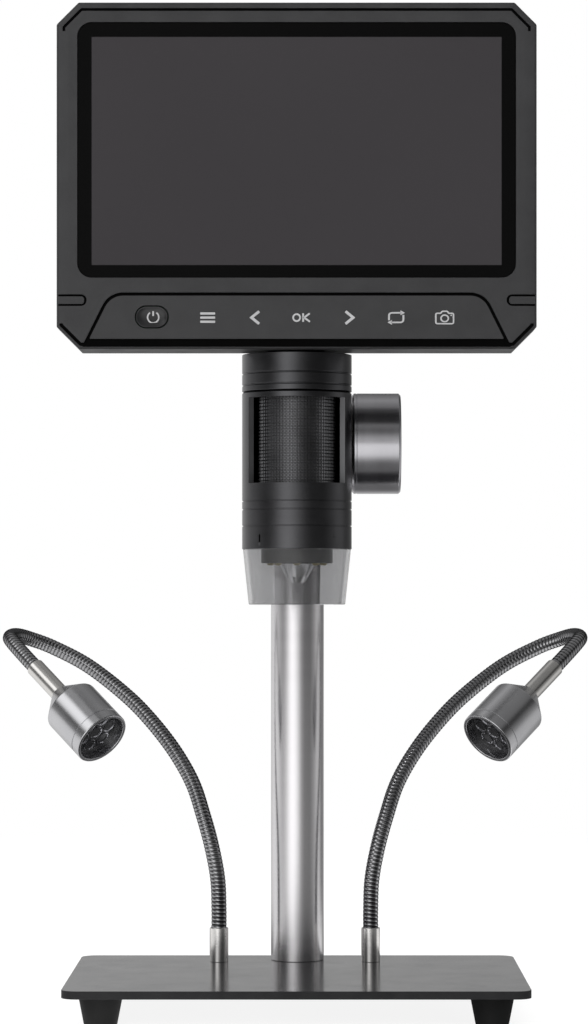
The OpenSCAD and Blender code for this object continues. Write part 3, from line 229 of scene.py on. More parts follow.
# White paper: matt for light, shaded near the stand for the eye so that a soft shadow stays,
# and for gloss a picture of the cards and, further off, of the studio's floor
PAPER, SHADED_PAPER, SHADED_GLOW = 0.78, 0.30, 0.88
SHADE_REACH, CARD_REACH = (0.18, 0.9), (0.22, 0.4)
floor_mesh = bpy.data.meshes.new("floor")
floor_mesh.from_pydata([(-6, -6, 0), (6, -6, 0), (6, 6, 0), (-6, 6, 0)], [], [(0, 1, 2, 3)])
floor = new_piece("floor", floor_mesh)
paper, tree, _ = new_surface("white_paper")
tree.nodes.clear()
rays = add(tree, "ShaderNodeLightPath").outputs
spot = add(tree, "ShaderNodeTexCoord").outputs["Object"]
reach = add(tree, "ShaderNodeVectorMath", {0: spot}, operation="LENGTH").outputs["Value"]
turn = compass(tree, add(tree, "ShaderNodeSeparateXYZ", {0: spot}).outputs)
mirrored = mixed(
    tree, spread(tree, reach, *CARD_REACH), ramp(tree, turn, CARD), ramp(tree, turn, FLOOR_RING)
)
matt, shaded = (
    out_of(tree, "ShaderNodeBsdfDiffuse", {0: (grey, grey, grey, 1)})
    for grey in (PAPER, SHADED_PAPER)
)
glow, shaded_glow, card_glow = (
    out_of(tree, "ShaderNodeEmission", {0: colour, 1: level})
    for colour, level in ((WHITE, 1.0), (WHITE, SHADED_GLOW), (mirrored, ROOM_LEVEL))
)
near = out_of(tree, "ShaderNodeAddShader", {0: shaded, 1: shaded_glow})
far = spread(tree, reach, *SHADE_REACH)
eye = out_of(tree, "ShaderNodeMixShader", {0: far, 1: near, 2: glow})
gloss = out_of(tree, "ShaderNodeMixShader", {0: rays["Is Glossy Ray"], 1: matt, 2: card_glow})
both = out_of(tree, "ShaderNodeMixShader", {0: by_eye(tree, rays), 1: gloss, 2: eye})
add(tree, "ShaderNodeOutputMaterial", {0: both})
floor_mesh.materials.append(paper)
floor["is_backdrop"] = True

# ---- Base plate ----
# A 3 mm steel sheet with rounded corners, coated all over with baked charcoal enamel.
# It is sawn from sheet, its edges are broken, and everything stands on it.

POST_X, POST_Y = 1.0, 31.125
PLATE_BOTTOM, PLATE_TOP = 11.0, 14.0
PLATE_SIZE = (173, 120)
PLATE_CENTRE = (POST_X, POST_Y + 14.7 - PLATE_SIZE[1] / 2)


def rounded(corners, radius, steps=5, closed=True):
    """A line through corners, each one rounded. A corner's third number is its own radius."""
    out = []
    for i, corner in enumerate(corners):
        here = Vector(corner[:2])
        wanted = corner[2] if len(corner) > 2 else radius
        back = Vector(corners[i - 1][:2]) - here
        ahead = Vector(corners[(i + 1) % len(corners)][:2]) - here
        end = not closed and i in (0, len(corners) - 1)
        if end or wanted == 0 or abs(back.angle(ahead) - math.pi) < 1e-3:
            out.append(tuple(here))
            continue
        half = back.angle(ahead) / 2
        cut = min(wanted / math.tan(half), back.length * 0.49, ahead.length * 0.49)
        back, ahead = back.normalized(), ahead.normalized()
        centre = here + (back + ahead).normalized() * (cut / math.cos(half))
        first, last = here + back * cut - centre, here + ahead * cut - centre
        sweep = math.atan2(first.cross(last), first.dot(last))
        for k in range(steps + 1):
            out.append(tuple(centre + Matrix.Rotation(sweep * k / steps, 2) @ first))
    return out


def round_rect(width, depth, radius, steps=6):
    """A rectangle with round corners, centred."""
    w, d = width / 2, depth / 2
    return rounded([(-w, -d), (w, -d), (w, d), (-w, d)], radius, steps)


def soften(piece, width, angle=40, segments=3, weighted=False):
    """Breaks a piece's sharp edges with a small round, and keeps its flats flat in shading."""
    if width:
        bevel = piece.modifiers.new("edges", "BEVEL")
        bevel.width = width * MM
        bevel.segments = segments
        bevel.limit_method = "WEIGHT" if weighted else "ANGLE"
        bevel.angle_limit = math.radians(angle)
        bevel.loop_slide = False
    piece.data.shade_smooth()
    piece.data.set_sharp_from_angle(angle=math.radians(angle))
    weights = piece.modifiers.new("flats", "WEIGHTED_NORMAL")
    weights.keep_sharp = True
    weights.weight = 90
    return piece


def solid_of(name, bm, turn=None, outward=True):
    """Makes a piece of a mesh in work, with its faces outward, and moves it to its place."""
    if outward:
        bmesh.ops.recalc_face_normals(bm, faces=bm.faces)
    mesh = bpy.data.meshes.new(name)
    bm.to_mesh(mesh)
    bm.free()
    if turn is not None:
        mesh.transform(turn)
    return new_piece(name, mesh)


def prism(name, outlines, low, high, turn, strong=()):
    """A flat shape with holes, in millimetres in X and Y, raised between two heights.
    Outlines whose number is in strong get bevel weight, for soften with weighted."""
    bm = bmesh.new()
    weight = bm.edges.layers.float.new("bevel_weight_edge")
    triangles = tessellate_polygon([[Vector((*p, 0)) for p in o] for o in outlines])
    rims = []
    for z in (low, high):
        rims.append([bm.verts.new((p[0] * MM, p[1] * MM, z * MM)) for o in outlines for p in o])
        for triangle in triangles:
            bm.faces.new([rims[-1][i] for i in triangle])
    start = 0
    for number, outline in enumerate(outlines):
        count = len(outline)
        for k in range(count):
            a, b = start + k, start + (k + 1) % count
            bm.faces.new([rims[0][a], rims[0][b], rims[1][b], rims[1][a]])
            if number in strong:
                for rim in rims:
                    bm.edges.get((rim[a], rim[b]))[weight] = 1.0
        start += count
    return solid_of(name, bm, turn)


def settle(piece, material, body, slot, *replaced):
    """Gives a finished piece its material and its body, and hides the nodes it stands for. Its slot is not
    used.
    """
    if material is not None:
        piece.data.materials.clear()
        piece.data.materials.append(material)
    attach(piece, body)
    if replaced:
        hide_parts(*replaced)


def finish(name, dark, light, grain, rough, relief=0.0, stretch=(1, 1, 1), **sockets):
    """A surface whose colour, gloss and relief follow one grain, with sizes in millimetres."""
    made, tree, shader = new_surface(name)
    place = add(tree, "ShaderNodeTexCoord").outputs["Object"]
    place = out_of(tree, "ShaderNodeMapping", {"Vector": place, "Scale": stretch})
    noise, cloud = (
        out_of(
            tree, "ShaderNodeTexNoise",
            {"Vector": place, "Scale": scale / (grain * MM), "Detail": detail, "Roughness": broken},
        )
        for scale, detail, broken in ((1, 3.0, 0.6), (0.06, 2.0, 0.5))
    )
    share = spread(tree, reckon(tree, "MULTIPLY_ADD", noise, 0.6, cloud), 0.55, 1.05)
    links = {
        "Base Color": mixed(tree, share, linear(dark), linear(light)),
        "Roughness": spread(tree, share, 0.0, 1.0, *rough),
    }
    if relief:
        links["Normal"] = out_of(
            tree, "ShaderNodeBump", {"Height": noise, "Distance": relief * MM, "Strength": 1.0}
        )
    for socket, value in links.items():
        tree.links.new(value, shader.inputs[socket])
    for socket, value in sockets.items():
        shader.inputs[socket.replace("_", " ")].default_value = value
    return made


# Baked enamel: nearly black by itself, and so glossy that it looks grey along the surface,
# with a 1 mm orange peel that blurs the feet of post and stems into streaks
enamel = finish("charcoal_enamel", "232325", "29292b", 0.9, (0.14, 0.19), relief=0.002, IOR=1.54)
# The sawn edge: the same paint, but thin and matt over the cut
edge_paint = finish(
    "matt_edge_paint", "262627", "2e2e2f", 0.5, (0.5, 0.6), relief=0.01, Specular_IOR_Level=0.2
)
on_plate = Matrix.Translation((PLATE_CENTRE[0] * MM, PLATE_CENTRE[1] * MM, 0))
plate = prism(
    "plate_sheet", [round_rect(*PLATE_SIZE, 6, 8)], PLATE_BOTTOM, PLATE_TOP, on_plate, strong=(0,)
)
plate.data.materials.append(enamel)
plate.data.materials.append(edge_paint)
for polygon in plate.data.polygons:
    polygon.material_index = 1 if abs(polygon.normal.z) < 0.5 else 0
soften(plate, 0.35, weighted=True)
settle(plate, None, "stand", "base_paint", "base_plate")

# ---- Feet ----
# Four moulded rubber cones, wider at the plate, each held by a steel screw in its hollow.
# Both are set out by one tree, from the plate's size and the feet's distance to its edges.

FOOT_INSET = 14


def turned(name, profile, steps, closed=False, turn=None):
    """A profile of (radius, height) in millimetres turned round Z, then put in its place."""
    bm = bmesh.new()
    rings = []
    for radius, height in profile:
        count = 1 if radius < 1e-6 else steps
        rings.append([
            bm.verts.new((
                radius * MM * math.cos(2 * math.pi * k / steps),
                radius * MM * math.sin(2 * math.pi * k / steps),
                height * MM,
            ))
            for k in range(count)
        ])
    pairs = list(zip(rings, rings[1:])) + ([(rings[-1], rings[0])] if closed else [])
    for low, high in pairs:
        for k in range(steps):
            n = (k + 1) % steps
            face = dict.fromkeys((
                low[k % len(low)], low[n % len(low)], high[n % len(high)], high[k % len(high)]
            ))
            if len(face) > 2:
                bm.faces.new(list(face))
    return solid_of(name, bm, turn)


def new_tree(name, **sizes):
    """A node tree with a geometry input and output, and a named input for each size."""
    tree = bpy.data.node_groups.new(name, "GeometryNodeTree")
    tree.interface.new_socket("Geometry", in_out="INPUT", socket_type="NodeSocketGeometry")
    for label, value in sizes.items():
        kind = (
            "NodeSocketInt" if isinstance(value, int)
            else "NodeSocketFloat" if isinstance(value, float)
            else "NodeSocketMaterial" if isinstance(value, bpy.types.Material)
            else "NodeSocketObject"
        )
        tree.interface.new_socket(label, in_out="INPUT", socket_type=kind)
    tree.interface.new_socket("Geometry", in_out="OUTPUT", socket_type="NodeSocketGeometry")
    return tree, add(tree, "NodeGroupInput").outputs


def close_tree(tree, geometry, material):
    """Ends a tree in Realize Instances and Set Material."""
    real = out_of(tree, "GeometryNodeRealizeInstances", {0: geometry})
    coated = out_of(tree, "GeometryNodeSetMaterial", {"Geometry": real, "Material": material})
    add(tree, "NodeGroupOutput", {0: coated})


def set_shape(tree, points, given):
    """Ends a tree with its shape set on points."""
    shape = add(tree, "GeometryNodeObjectInfo", {0: given["Shape"]}).outputs["Geometry"]
    placed = {"Points": points, "Instance": shape}
    close_tree(tree, out_of(tree, "GeometryNodeInstanceOnPoints", placed), given["Finish"])


def baked(piece):
    """The mesh of a piece or a curve with its modifiers applied."""
    bpy.context.view_layer.update()
    depsgraph = bpy.context.evaluated_depsgraph_get()
    return bpy.data.meshes.new_from_object(piece.evaluated_get(depsgraph))


def grow(name, tree, base=None, **sizes):
    """Runs a tree on a curve or on nothing, and puts a plain mesh piece in its place."""
    if base is None:
        base = new_piece("carrier", bpy.data.meshes.new("carrier"))
    modifier = base.modifiers.new("grow", "NODES")
    modifier.node_group = tree
    for socket in tree.interface.items_tree:
        if socket.in_out == "INPUT" and socket.name in sizes:
            modifier[socket.identifier] = sizes[socket.name]
    mesh = baked(base)
    bpy.data.objects.remove(base)
    return new_piece(name, mesh)


def set_out(name, tree, profile, steps, closed, place, **sizes):
    """A turned shape set out by a tree, as one piece in its place."""
    model = turned("model", profile, steps, closed)
    model.data.shade_smooth()
    model.data.set_sharp_from_angle(angle=math.radians(40))
    piece = grow(name, tree, Shape=model, **sizes)
    piece.data.transform(place)
    bpy.data.objects.remove(model)
    return piece


# Moulded rubber: matt black, with the fine bloom of the mould
rubber = finish("black_rubber", "131313", "1b1b1b", 0.7, (0.62, 0.75), relief=0.02, IOR=1.5)
# Zinc-plated steel: a cold grey with a soft gloss
zinc_steel = finish(
    "zinc_plated_steel", "8f9398", "a7abb0", 0.8, (0.28, 0.4), relief=0.005, Metallic=1.0
)
corner_set, given = new_tree("corner_set", Width=1.0, Depth=1.0, Shape=floor, Finish=rubber)
grid = add(
    corner_set, "GeometryNodeMeshGrid",
    {"Size X": given["Width"], "Size Y": given["Depth"], "Vertices X": 2, "Vertices Y": 2},
).outputs["Mesh"]
set_shape(corner_set, grid, given)
foot_profile = rounded(
    [(2.95, 0, 0.3), (6.15, 0, 0.5), (8.3, 11, 0.3), (1.6, 11, 0), (1.6, 7, 0), (2.95, 7, 0.2)], 0.3
)
screw_head = [(0, 5), (2.9, 5), (2.9, 6.1), (2.2, 7), (1.5, 7), (1.5, 13.1), (0, 13.1)]
for name, profile, closed, material, slot, node in (
    ("feet_cones", foot_profile, True, rubber, "rubber", "rubber_feet"),
    ("feet_screws", screw_head, False, zinc_steel, "steel", "foot_screws"),
):
    piece = set_out(
        name, corner_set, profile, 48, closed, on_plate, Finish=material,
        Width=(PLATE_SIZE[0] - 2 * FOOT_INSET) * MM, Depth=(PLATE_SIZE[1] - 2 * FOOT_INSET) * MM,
    )
    settle(piece, None, "stand", slot, node)

# ---- Post ----
# A 21 mm bar of stainless steel, ground and polished round, with a plastic cap on top.
# A screw from below holds it to the plate; its grinding leaves very fine rings.

POST_R, POST_TOP = 10.5, 261.0


def at(x, y, z=0.0):
    """A move in millimetres."""
    return Matrix.Translation((x * MM, y * MM, z * MM))


def lathe(name, corners, steps, turn, closed=True, radius=0.1, rounds=5, angle=40):
    """A turned piece from the corners of its profile, rounded, smooth and in its place."""
    line = rounded(corners, radius, rounds, closed)
    return soften(turned(name, line, steps, closed, turn), 0, angle)


# Polished stainless steel: rings 0.5 mm apart, as coarse as they have to be to show
stainless = finish(
    "polished_stainless_steel", "e2e0e2", "eae8ea", 1.6, (0.20, 0.25), stretch=(0.15, 0.15, 3.0),
    relief=0.0015, Metallic=1.0,
)
# ABS, moulded in a spark-eroded tool: near black, with a 0.6 mm grain
plain_abs = finish("black_abs", "161617", "1d1d1e", 0.6, (0.42, 0.55), relief=0.012, IOR=1.5)
bar = lathe(
    "post_bar",
    [(0, PLATE_TOP), (POST_R, PLATE_TOP, 0.2), (POST_R, POST_TOP, 0.3), (0, POST_TOP)],
    128, at(POST_X, POST_Y), False, 0,
)
settle(bar, stainless, "stand", "post_steel", "post")
cap = lathe(
    "post_plug",
    [(0, POST_TOP), (POST_R, POST_TOP, 0.2), (POST_R, POST_TOP + 3, 1.2), (0, POST_TOP + 3)],
    96, at(POST_X, POST_Y), False, 0,
)
settle(cap, plain_abs, "stand", "black_plastic", "post_cap")

# ---- Lamp sockets ----
# Two turned steel stems screwed into the plate; each takes the foot of a neck.
# They are satin-turned, so each shows a bright line and a dark one along its side.

SOCKET_TOP = Vector((30, 23.525, 27.5))
satin_steel = finish(
    "satin_turned_steel", "eae8e6", "f2f0ee", 1.4, (0.13, 0.17), stretch=(0.2, 0.2, 3.0),
    relief=0.003, Metallic=1.0,
)
for side, word in ((-1, "left"), (1, "right")):
    stem = lathe(
        word + "_stem",
        [(1.6, PLATE_TOP), (3.7, PLATE_TOP, 0.15), (3.7, SOCKET_TOP.z, 0.35),
         (3.1, SOCKET_TOP.z, 0.1), (3.1, SOCKET_TOP.z - 2.5), (1.6, SOCKET_TOP.z - 2.5)],
        64, at(side * SOCKET_TOP.x, SOCKET_TOP.y),
    )
    settle(stem, satin_steel, "stand", "socket_steel", word + "_socket")

# ---- Lamp necks ----
# Bendable hoses wound from steel wire, polished on the ribs, with painted shade between, 6.1 mm thick.
# A tree winds the ribs along each route; a neck is cut in two where it can bend twice.

NECK_R, RIB_PITCH, RIB_DEPTH, RIB_STEPS = 3.05, 1.54, 0.2, 8
NECK_REACH, NECK_CUT, PAST_END = 85, 150, 400
LAMP_POLAR, LAMP_AZIMUTH = math.radians(126), math.radians(-138.4)
ROUTE = (
    (0, 0, 0), (0, 0, 0.082), (0.006, 0.006, 0.224), (0.035, 0.029, 0.376), (0.076, 0.076, 0.518),
    (0.129, 0.147, 0.665), (0.218, 0.229, 0.812), (0.335, 0.324, 0.953), (0.459, 0.406, 1.071),
    (0.641, 0.488, 1.206), (0.812, 0.524, 1.294), (0.918, 0.5, 1.335), (0.976, 0.418, 1.353),
    (1, 0.324, 1.347), (0.982, 0.241, 1.324),
)
aim = Vector((
    math.sin(LAMP_POLAR) * math.cos(LAMP_AZIMUTH),
    math.sin(LAMP_POLAR) * math.sin(LAMP_AZIMUTH),
    math.cos(LAMP_POLAR),
))
neck_end = NECK_REACH * Vector((0.8635, 0.1129, 1.2071))
route = [NECK_REACH * Vector(p) for p in ROUTE] + [neck_end - 7.5 * aim, neck_end]
route = [2 * route[0] - route[1]] + route + [2 * route[-1] - route[-2]]
path = []
for a, b, c, d in zip(route, route[1:], route[2:], route[3:]):
    for k in range(12):
        t = k / 12
        square, cube = 2 * a - 5 * b + 4 * c - d, 3 * b - a - 3 * c + d
        path.append((2 * b + (c - a) * t + square * t**2 + cube * t**3) / 2)
path.append(neck_end)

# Spring steel: polished on the ribs, with the grooves between them painted near black as painted shade
spring_steel = finish(
    "polished_spring_steel", "adadaf", "bebec0", 1.2, (0.12, 0.18), relief=0.001, Metallic=1.0,
    Specular_Tint=(0.12, 0.12, 0.12, 1),
)
tree = spring_steel.node_tree
base_colour = tree.nodes["Principled BSDF"].inputs["Base Color"]
depth = add(tree, "ShaderNodeAttribute", attribute_name="groove").outputs["Fac"]
# Painted shade: the colour goes to near black with the depth of the groove
groove_shade = mixed(tree, depth, base_colour.links[0].from_socket, linear("111112"))
tree.links.new(groove_shade, base_colour)


def stored(tree, geometry, name, value):
    """Geometry with a value kept at its points under a name."""
    return out_of(
        tree, "GeometryNodeStoreNamedAttribute",
        {"Geometry": geometry, "Name": name, "Value": value}, data_type="FLOAT", domain="POINT",
    )


def recalled(tree, name):
    """A value that was kept under a name."""
    return out_of(tree, "GeometryNodeInputNamedAttribute", {"Name": name}, data_type="FLOAT")


winding, given = new_tree(
    "wound_neck", Radius=1.0, Pitch=1.0, Rib=1.0, Sides=8, Finish=spring_steel
)
step = reckon(winding, "MULTIPLY", given["Pitch"], 1 / RIB_STEPS)
even = out_of(
    winding, "GeometryNodeResampleCurve", {"Curve": given["Geometry"], "Length": step},
    mode="LENGTH",
)
run = add(winding, "GeometryNodeSplineParameter").outputs
circle = out_of(
    winding, "GeometryNodeCurvePrimitiveCircle",
    {"Resolution": given["Sides"], "Radius": given["Radius"]},
)
hose = out_of(
    winding, "GeometryNodeCurveToMesh",
    {
        "Curve": stored(winding, even, "run", run["Length"]),
        "Profile Curve": stored(winding, circle, "round", run["Factor"]), "Fill Caps": True,
    },
)
turns = reckon(winding, "DIVIDE", recalled(winding, "run"), given["Pitch"])
phase = reckon(winding, "ADD", turns, recalled(winding, "round"))
wave = reckon(winding, "SINE", reckon(winding, "MULTIPLY", phase, math.pi))
dome = reckon(winding, "POWER", reckon(winding, "ABSOLUTE", wave), 0.7)
groove = reckon(winding, "SUBTRACT", 1.0, dome)
sunk = reckon(winding, "MULTIPLY", groove, given["Rib"])
inwards = reckon(winding, "MULTIPLY", sunk, -1.0)
normal = out_of(winding, "GeometryNodeInputNormal")
offset = out_of(winding, "ShaderNodeVectorMath", {0: normal, "Scale": inwards}, operation="SCALE")
wound = out_of(winding, "GeometryNodeSetPosition", {"Geometry": hose, "Offset": offset})
close_tree(winding, stored(winding, wound, "groove", groove), given["Finish"])

for side, word in ((-1, "left"), (1, "right")):
    curve = bpy.data.curves.new("route", "CURVE")
    curve.dimensions = "3D"
    spline = curve.splines.new("POLY")
    spline.points.add(len(path) - 1)
    top = SOCKET_TOP - Vector((0, 0, 2))
    for point, p in zip(spline.points, path):
        low = 2.0 if p.z > 1e-6 else 0.0
        point.co = (side * (top.x + p.x) * MM, (top.y + p.y) * MM, (top.z + p.z + low) * MM, 1)
    whole = grow(
        "whole", winding, new_piece("route", curve), Radius=NECK_R * MM, Pitch=RIB_PITCH * MM,
        Rib=RIB_DEPTH * MM, Sides=20, Finish=spring_steel,
    )
    arm, step = word + "_arm", RIB_PITCH / RIB_STEPS * MM
    for tail, low, high, first, second, start, end, stands_for in (
        ("_neck_long", 0, NECK_CUT, "stand", arm, (0.6, 0.6, 20), (15.3, 16.7, 64.3),
         (word + "_neck_lower", word + "_neck_upper")),
        ("_neck_hook", NECK_CUT, PAST_END, arm, word + "_lamp", (80, 40.7, 114.2), (76, 12, 105),
         ()),
    ):
        bm = bmesh.new()
        bm.from_mesh(whole.data)
        length = bm.verts.layers.float["run"]
        low_end, high_end = low * MM - step / 2, high * MM + step * 1.2
        gone = [v for v in bm.verts if v[length] < low_end or v[length] > high_end]
        bmesh.ops.delete(bm, geom=gone, context="VERTS")
        piece = solid_of(word + tail, bm, outward=False)
        piece.data.shade_smooth()
        piece.data.materials.append(spring_steel)
        if stands_for:
            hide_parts(*stands_for)
        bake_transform(piece, first, second, *(
            (side * (SOCKET_TOP.x + x) * MM, (SOCKET_TOP.y + y) * MM, (SOCKET_TOP.z + z) * MM)
            for x, y, z in (start, end)
        ))
    bpy.data.objects.remove(whole)

# ---- Lamp heads ----
# Satin anodised aluminium cans on bright turned ferrules, with a cone at the back.
# A black lens plate lies in each can, with one cup in the middle and six around it.

FERRULE_R, FERRULE_L = 3.6, 17.3
CAN_R, CAN_L, CAN_WALL, CONE_L = 11.4, 29.2, 1.4, 8.3
CAN_FRONT = FERRULE_L + CAN_L
LENS_FRONT = CAN_FRONT - 3.5
BOARD_Z = CAN_FRONT - 12.5
# Anodised aluminium: a soft satin from bead blasting, with fine turning rings
can_metal = finish(
    "satin_anodised_aluminium", "cbcbce", "d4d4d6", 0.7, (0.22, 0.27), relief=0.003, Metallic=1.0
)
bright_metal = finish(
    "bright_turned_aluminium", "e0dedb", "eae8e5", 0.8, (0.2, 0.28), relief=0.003, Metallic=1.0
)
# Lens plate: dark polycarbonate, a little glossy
lens_black = finish("dark_polycarbonate", "2c2c2e", "353537", 0.8, (0.2, 0.28), relief=0.003)
# Cups: vacuum-metallised plastic, a dark mirror that shows the room upside down
cup_metal = finish("metallised_plastic", "c0c0c4", "d0d0d4", 0.6, (0.08, 0.13), Metallic=1.0)
# Light points: the yellow gel of white light-emitting diodes
yellow_gel = finish("phosphor_gel", "96895a", "a69a6c", 0.5, (0.3, 0.4), IOR=1.45)
cup_set, given = new_tree(
    "cup_set", Radius=1.0, Count=6, Middle=1, Shape=floor, Finish=cup_metal
)
circle = out_of(
    cup_set, "GeometryNodeMeshCircle", {"Vertices": given["Count"], "Radius": given["Radius"]}
)
middle = out_of(cup_set, "GeometryNodeMeshLine", {"Count": given["Middle"], "Offset": (0, 0, 0)})
places = add(cup_set, "GeometryNodeJoinGeometry", {0: circle})
cup_set.links.new(middle, places.inputs[0])
set_shape(cup_set, places.outputs[0], given)

BOARD_R = CAN_R - CAN_WALL - 0.02
CUP_RING = BOARD_R * 0.62
can_corners = [
    (FERRULE_R - 0.6, FERRULE_L + 0.2), (FERRULE_R + 0.3, FERRULE_L, 0.3),
    (CAN_R, FERRULE_L + CONE_L, 0.8), (CAN_R, CAN_FRONT - 4.4, 0.05),
    (CAN_R - 0.2, CAN_FRONT - 4.3, 0), (CAN_R - 0.2, CAN_FRONT - 4.0, 0),
    (CAN_R, CAN_FRONT - 3.9, 0.05), (CAN_R, CAN_FRONT, 0.5), (CAN_R - CAN_WALL, CAN_FRONT, 0.35),
    (CAN_R - CAN_WALL, BOARD_Z - 2, 0.2), (0, BOARD_Z - 2, 0),
]
ferrule_corners = [
    (NECK_R - 0.35, -0.4), (FERRULE_R, -0.4, 0.3), (FERRULE_R, FERRULE_L + 0.3, 0.1),
    (NECK_R - 0.35, FERRULE_L + 0.3),
]
plate_corners = [
    (0, LENS_FRONT - 0.9), (BOARD_R - 1.6, LENS_FRONT - 0.9, 0.3),
    (BOARD_R - 1.2, LENS_FRONT, 0.2), (BOARD_R, LENS_FRONT, 0.1), (BOARD_R, BOARD_Z, 0),
    (0, BOARD_Z, 0),
]
cup_profile = [
    (2.75, LENS_FRONT - 0.95), (2.75, LENS_FRONT - 0.55), (2.5, LENS_FRONT - 0.5),
    (2.3, LENS_FRONT - 0.95), (1.9, LENS_FRONT - 1.9), (1.2, LENS_FRONT - 2.8),
    (0, LENS_FRONT - 3.0),
]
gel_profile = [(0.95, LENS_FRONT - 3.0), (0.8, LENS_FRONT - 2.5), (0.4, LENS_FRONT - 2.25),
               (0, LENS_FRONT - 2.2)]
for side, word in ((-1, "left"), (1, "right")):
    azimuth = LAMP_AZIMUTH if side > 0 else -math.pi - LAMP_AZIMUTH
    head = (
        at(side * (SOCKET_TOP.x + neck_end.x), SOCKET_TOP.y + neck_end.y, SOCKET_TOP.z + neck_end.z)
        @ Matrix.Rotation(azimuth, 4, "Z")
        @ Matrix.Rotation(LAMP_POLAR, 4, "Y")
    )
    body = word + "_lamp"
    can = lathe(word + "_can", can_corners, 128, head, False)
    settle(can, can_metal, body, "lamp_aluminium", word + "_lamp_can")
    ferrule = lathe(word + "_ferrule", ferrule_corners, 64, head, radius=0.2)
    settle(ferrule, bright_metal, body, "lamp_aluminium", word + "_lamp_ferrule")
    lens_plate = lathe(word + "_lens_plate", plate_corners, 96, head, False)
    settle(lens_plate, lens_black, body, "lamp_lens", word + "_lamp_lens", word + "_lamp_board")
    for tail, profile, steps, material in (
        ("_cups", cup_profile, 24, cup_metal), ("_light_points", gel_profile, 12, yellow_gel)
    ):
        piece = set_out(
            word + tail, cup_set, profile, steps, False, head, Finish=material,
            Radius=CUP_RING * MM, Count=6, Middle=1,
        )
        settle(piece, None, body, "lamp_lens")

# ---- Sleeve, arm and clamp screw ----
# Behind the tube: a black acetal sleeve slides on the post, and a cast arm turns on it.
# The arm is painted black; a fluted screw at its back clamps it to the sleeve.


def from_node(name, node, edge, angle=35, segments=2):
    """A copy of a node's solid with its doubles merged and its edges softly broken."""
    mesh = nodes[node].data.copy()
    mesh.materials.clear()
    bm = bmesh.new()
    bm.from_mesh(mesh)
    bmesh.ops.remove_doubles(bm, verts=bm.verts, dist=1e-6)
    bmesh.ops.dissolve_limit(bm, angle_limit=math.radians(0.6), verts=bm.verts, edges=bm.edges)
    bm.to_mesh(mesh)
    bm.free()
    return soften(new_piece(name, mesh), edge, angle, segments)


cast_paint = finish("black_cast_paint", "1a1a1b", "232324", 0.8, (0.36, 0.46), relief=0.02, IOR=1.5)
acetal = finish("black_acetal", "141415", "1a1a1b", 0.9, (0.3, 0.38), relief=0.004, IOR=1.48)
for name, node, edge, material, body, slot in (
    ("cast_arm", "arm", 0.3, cast_paint, "head", "arm_metal"),
    ("acetal_sleeve", "post_sleeve", 0.25, acetal, "sleeve", "black_plastic"),
    ("clamp_grip", "clamp_screw", 0.35, plain_abs, "clamp", "black_plastic"),
):
    settle(from_node(name, node, edge), material, body, slot, node)

# ---- Tube ----
# Machined aluminium, bead blasted and anodised black, with turned grooves and a window.
# The window shows the focus ring; a slot and a dimple near the lower edge mark its seat.

TUBE_Y, ARM_Z = -16.875, 218.0
TUBE_R, TUBE_WALL, NOSE_BORE = 21, 2.2, 6.55
TUBE_BOTTOM, TUBE_TOP = -41.4, 18.8
WINDOW_LOW, WINDOW_HIGH, WINDOW_SWING = -16.4, 16.2, math.radians(60.8)
GROOVE_W, GROOVE_DEPTH = 0.5, 0.35
tube_place = at(POST_X, TUBE_Y, ARM_Z)


def carve(piece, *cutters):
    """Takes solids away from a piece. A cutter's material, if it has one, stays on the cut."""
    for cutter in cutters:
        cut = piece.modifiers.new("cut", "BOOLEAN")
        cut.operation = "DIFFERENCE"
        cut.solver = "EXACT"
        cut.material_mode = "TRANSFER"
        cut.object = cutter
    mesh = baked(piece)
    piece.modifiers.clear()
    piece.data = mesh
    for cutter in cutters:
        bpy.data.objects.remove(cutter)


# Black anodised aluminium: bead blasted, so a fine even grain and a soft gloss
black_anodised = finish(
    "black_anodised_aluminium", "535355", "5d5d5f", 0.6, (0.22, 0.27), relief=0.003, Metallic=1.0
)
tube_line = [(TUBE_R, TUBE_BOTTOM, 0.15)]
for rise in (8.8, 15.1, 18.3):
    low, high = TUBE_BOTTOM + rise - GROOVE_W / 2, TUBE_BOTTOM + rise + GROOVE_W / 2
    tube_line += [
        (TUBE_R, low, 0.08), (TUBE_R - GROOVE_DEPTH, low + 0.1, 0),
        (TUBE_R - GROOVE_DEPTH, high - 0.1, 0), (TUBE_R, high, 0.08),
    ]
tube_line += [
    (TUBE_R, TUBE_TOP - 0.8, 0.15), (TUBE_R - 0.8, TUBE_TOP, 0.1), (TUBE_R - 1.12, TUBE_TOP, 0),
    (TUBE_R - 1.12, TUBE_TOP + 1.9, 0),
    (TUBE_R - TUBE_WALL, TUBE_TOP + 1.9, 0), (TUBE_R - TUBE_WALL, TUBE_BOTTOM + 2.5, 0),
    (NOSE_BORE, TUBE_BOTTOM + 2.5, 0), (NOSE_BORE, TUBE_BOTTOM, 0),
]
# The window's milled edges: rougher than the tube, and a lighter grey that is a painted highlight for the
# light they catch
window_edge_highlight = finish(
    "milled_edge_painted_highlight", "8e8e90", "9a9a9c", 0.5, (0.5, 0.6), relief=0.004, Metallic=1.0
)
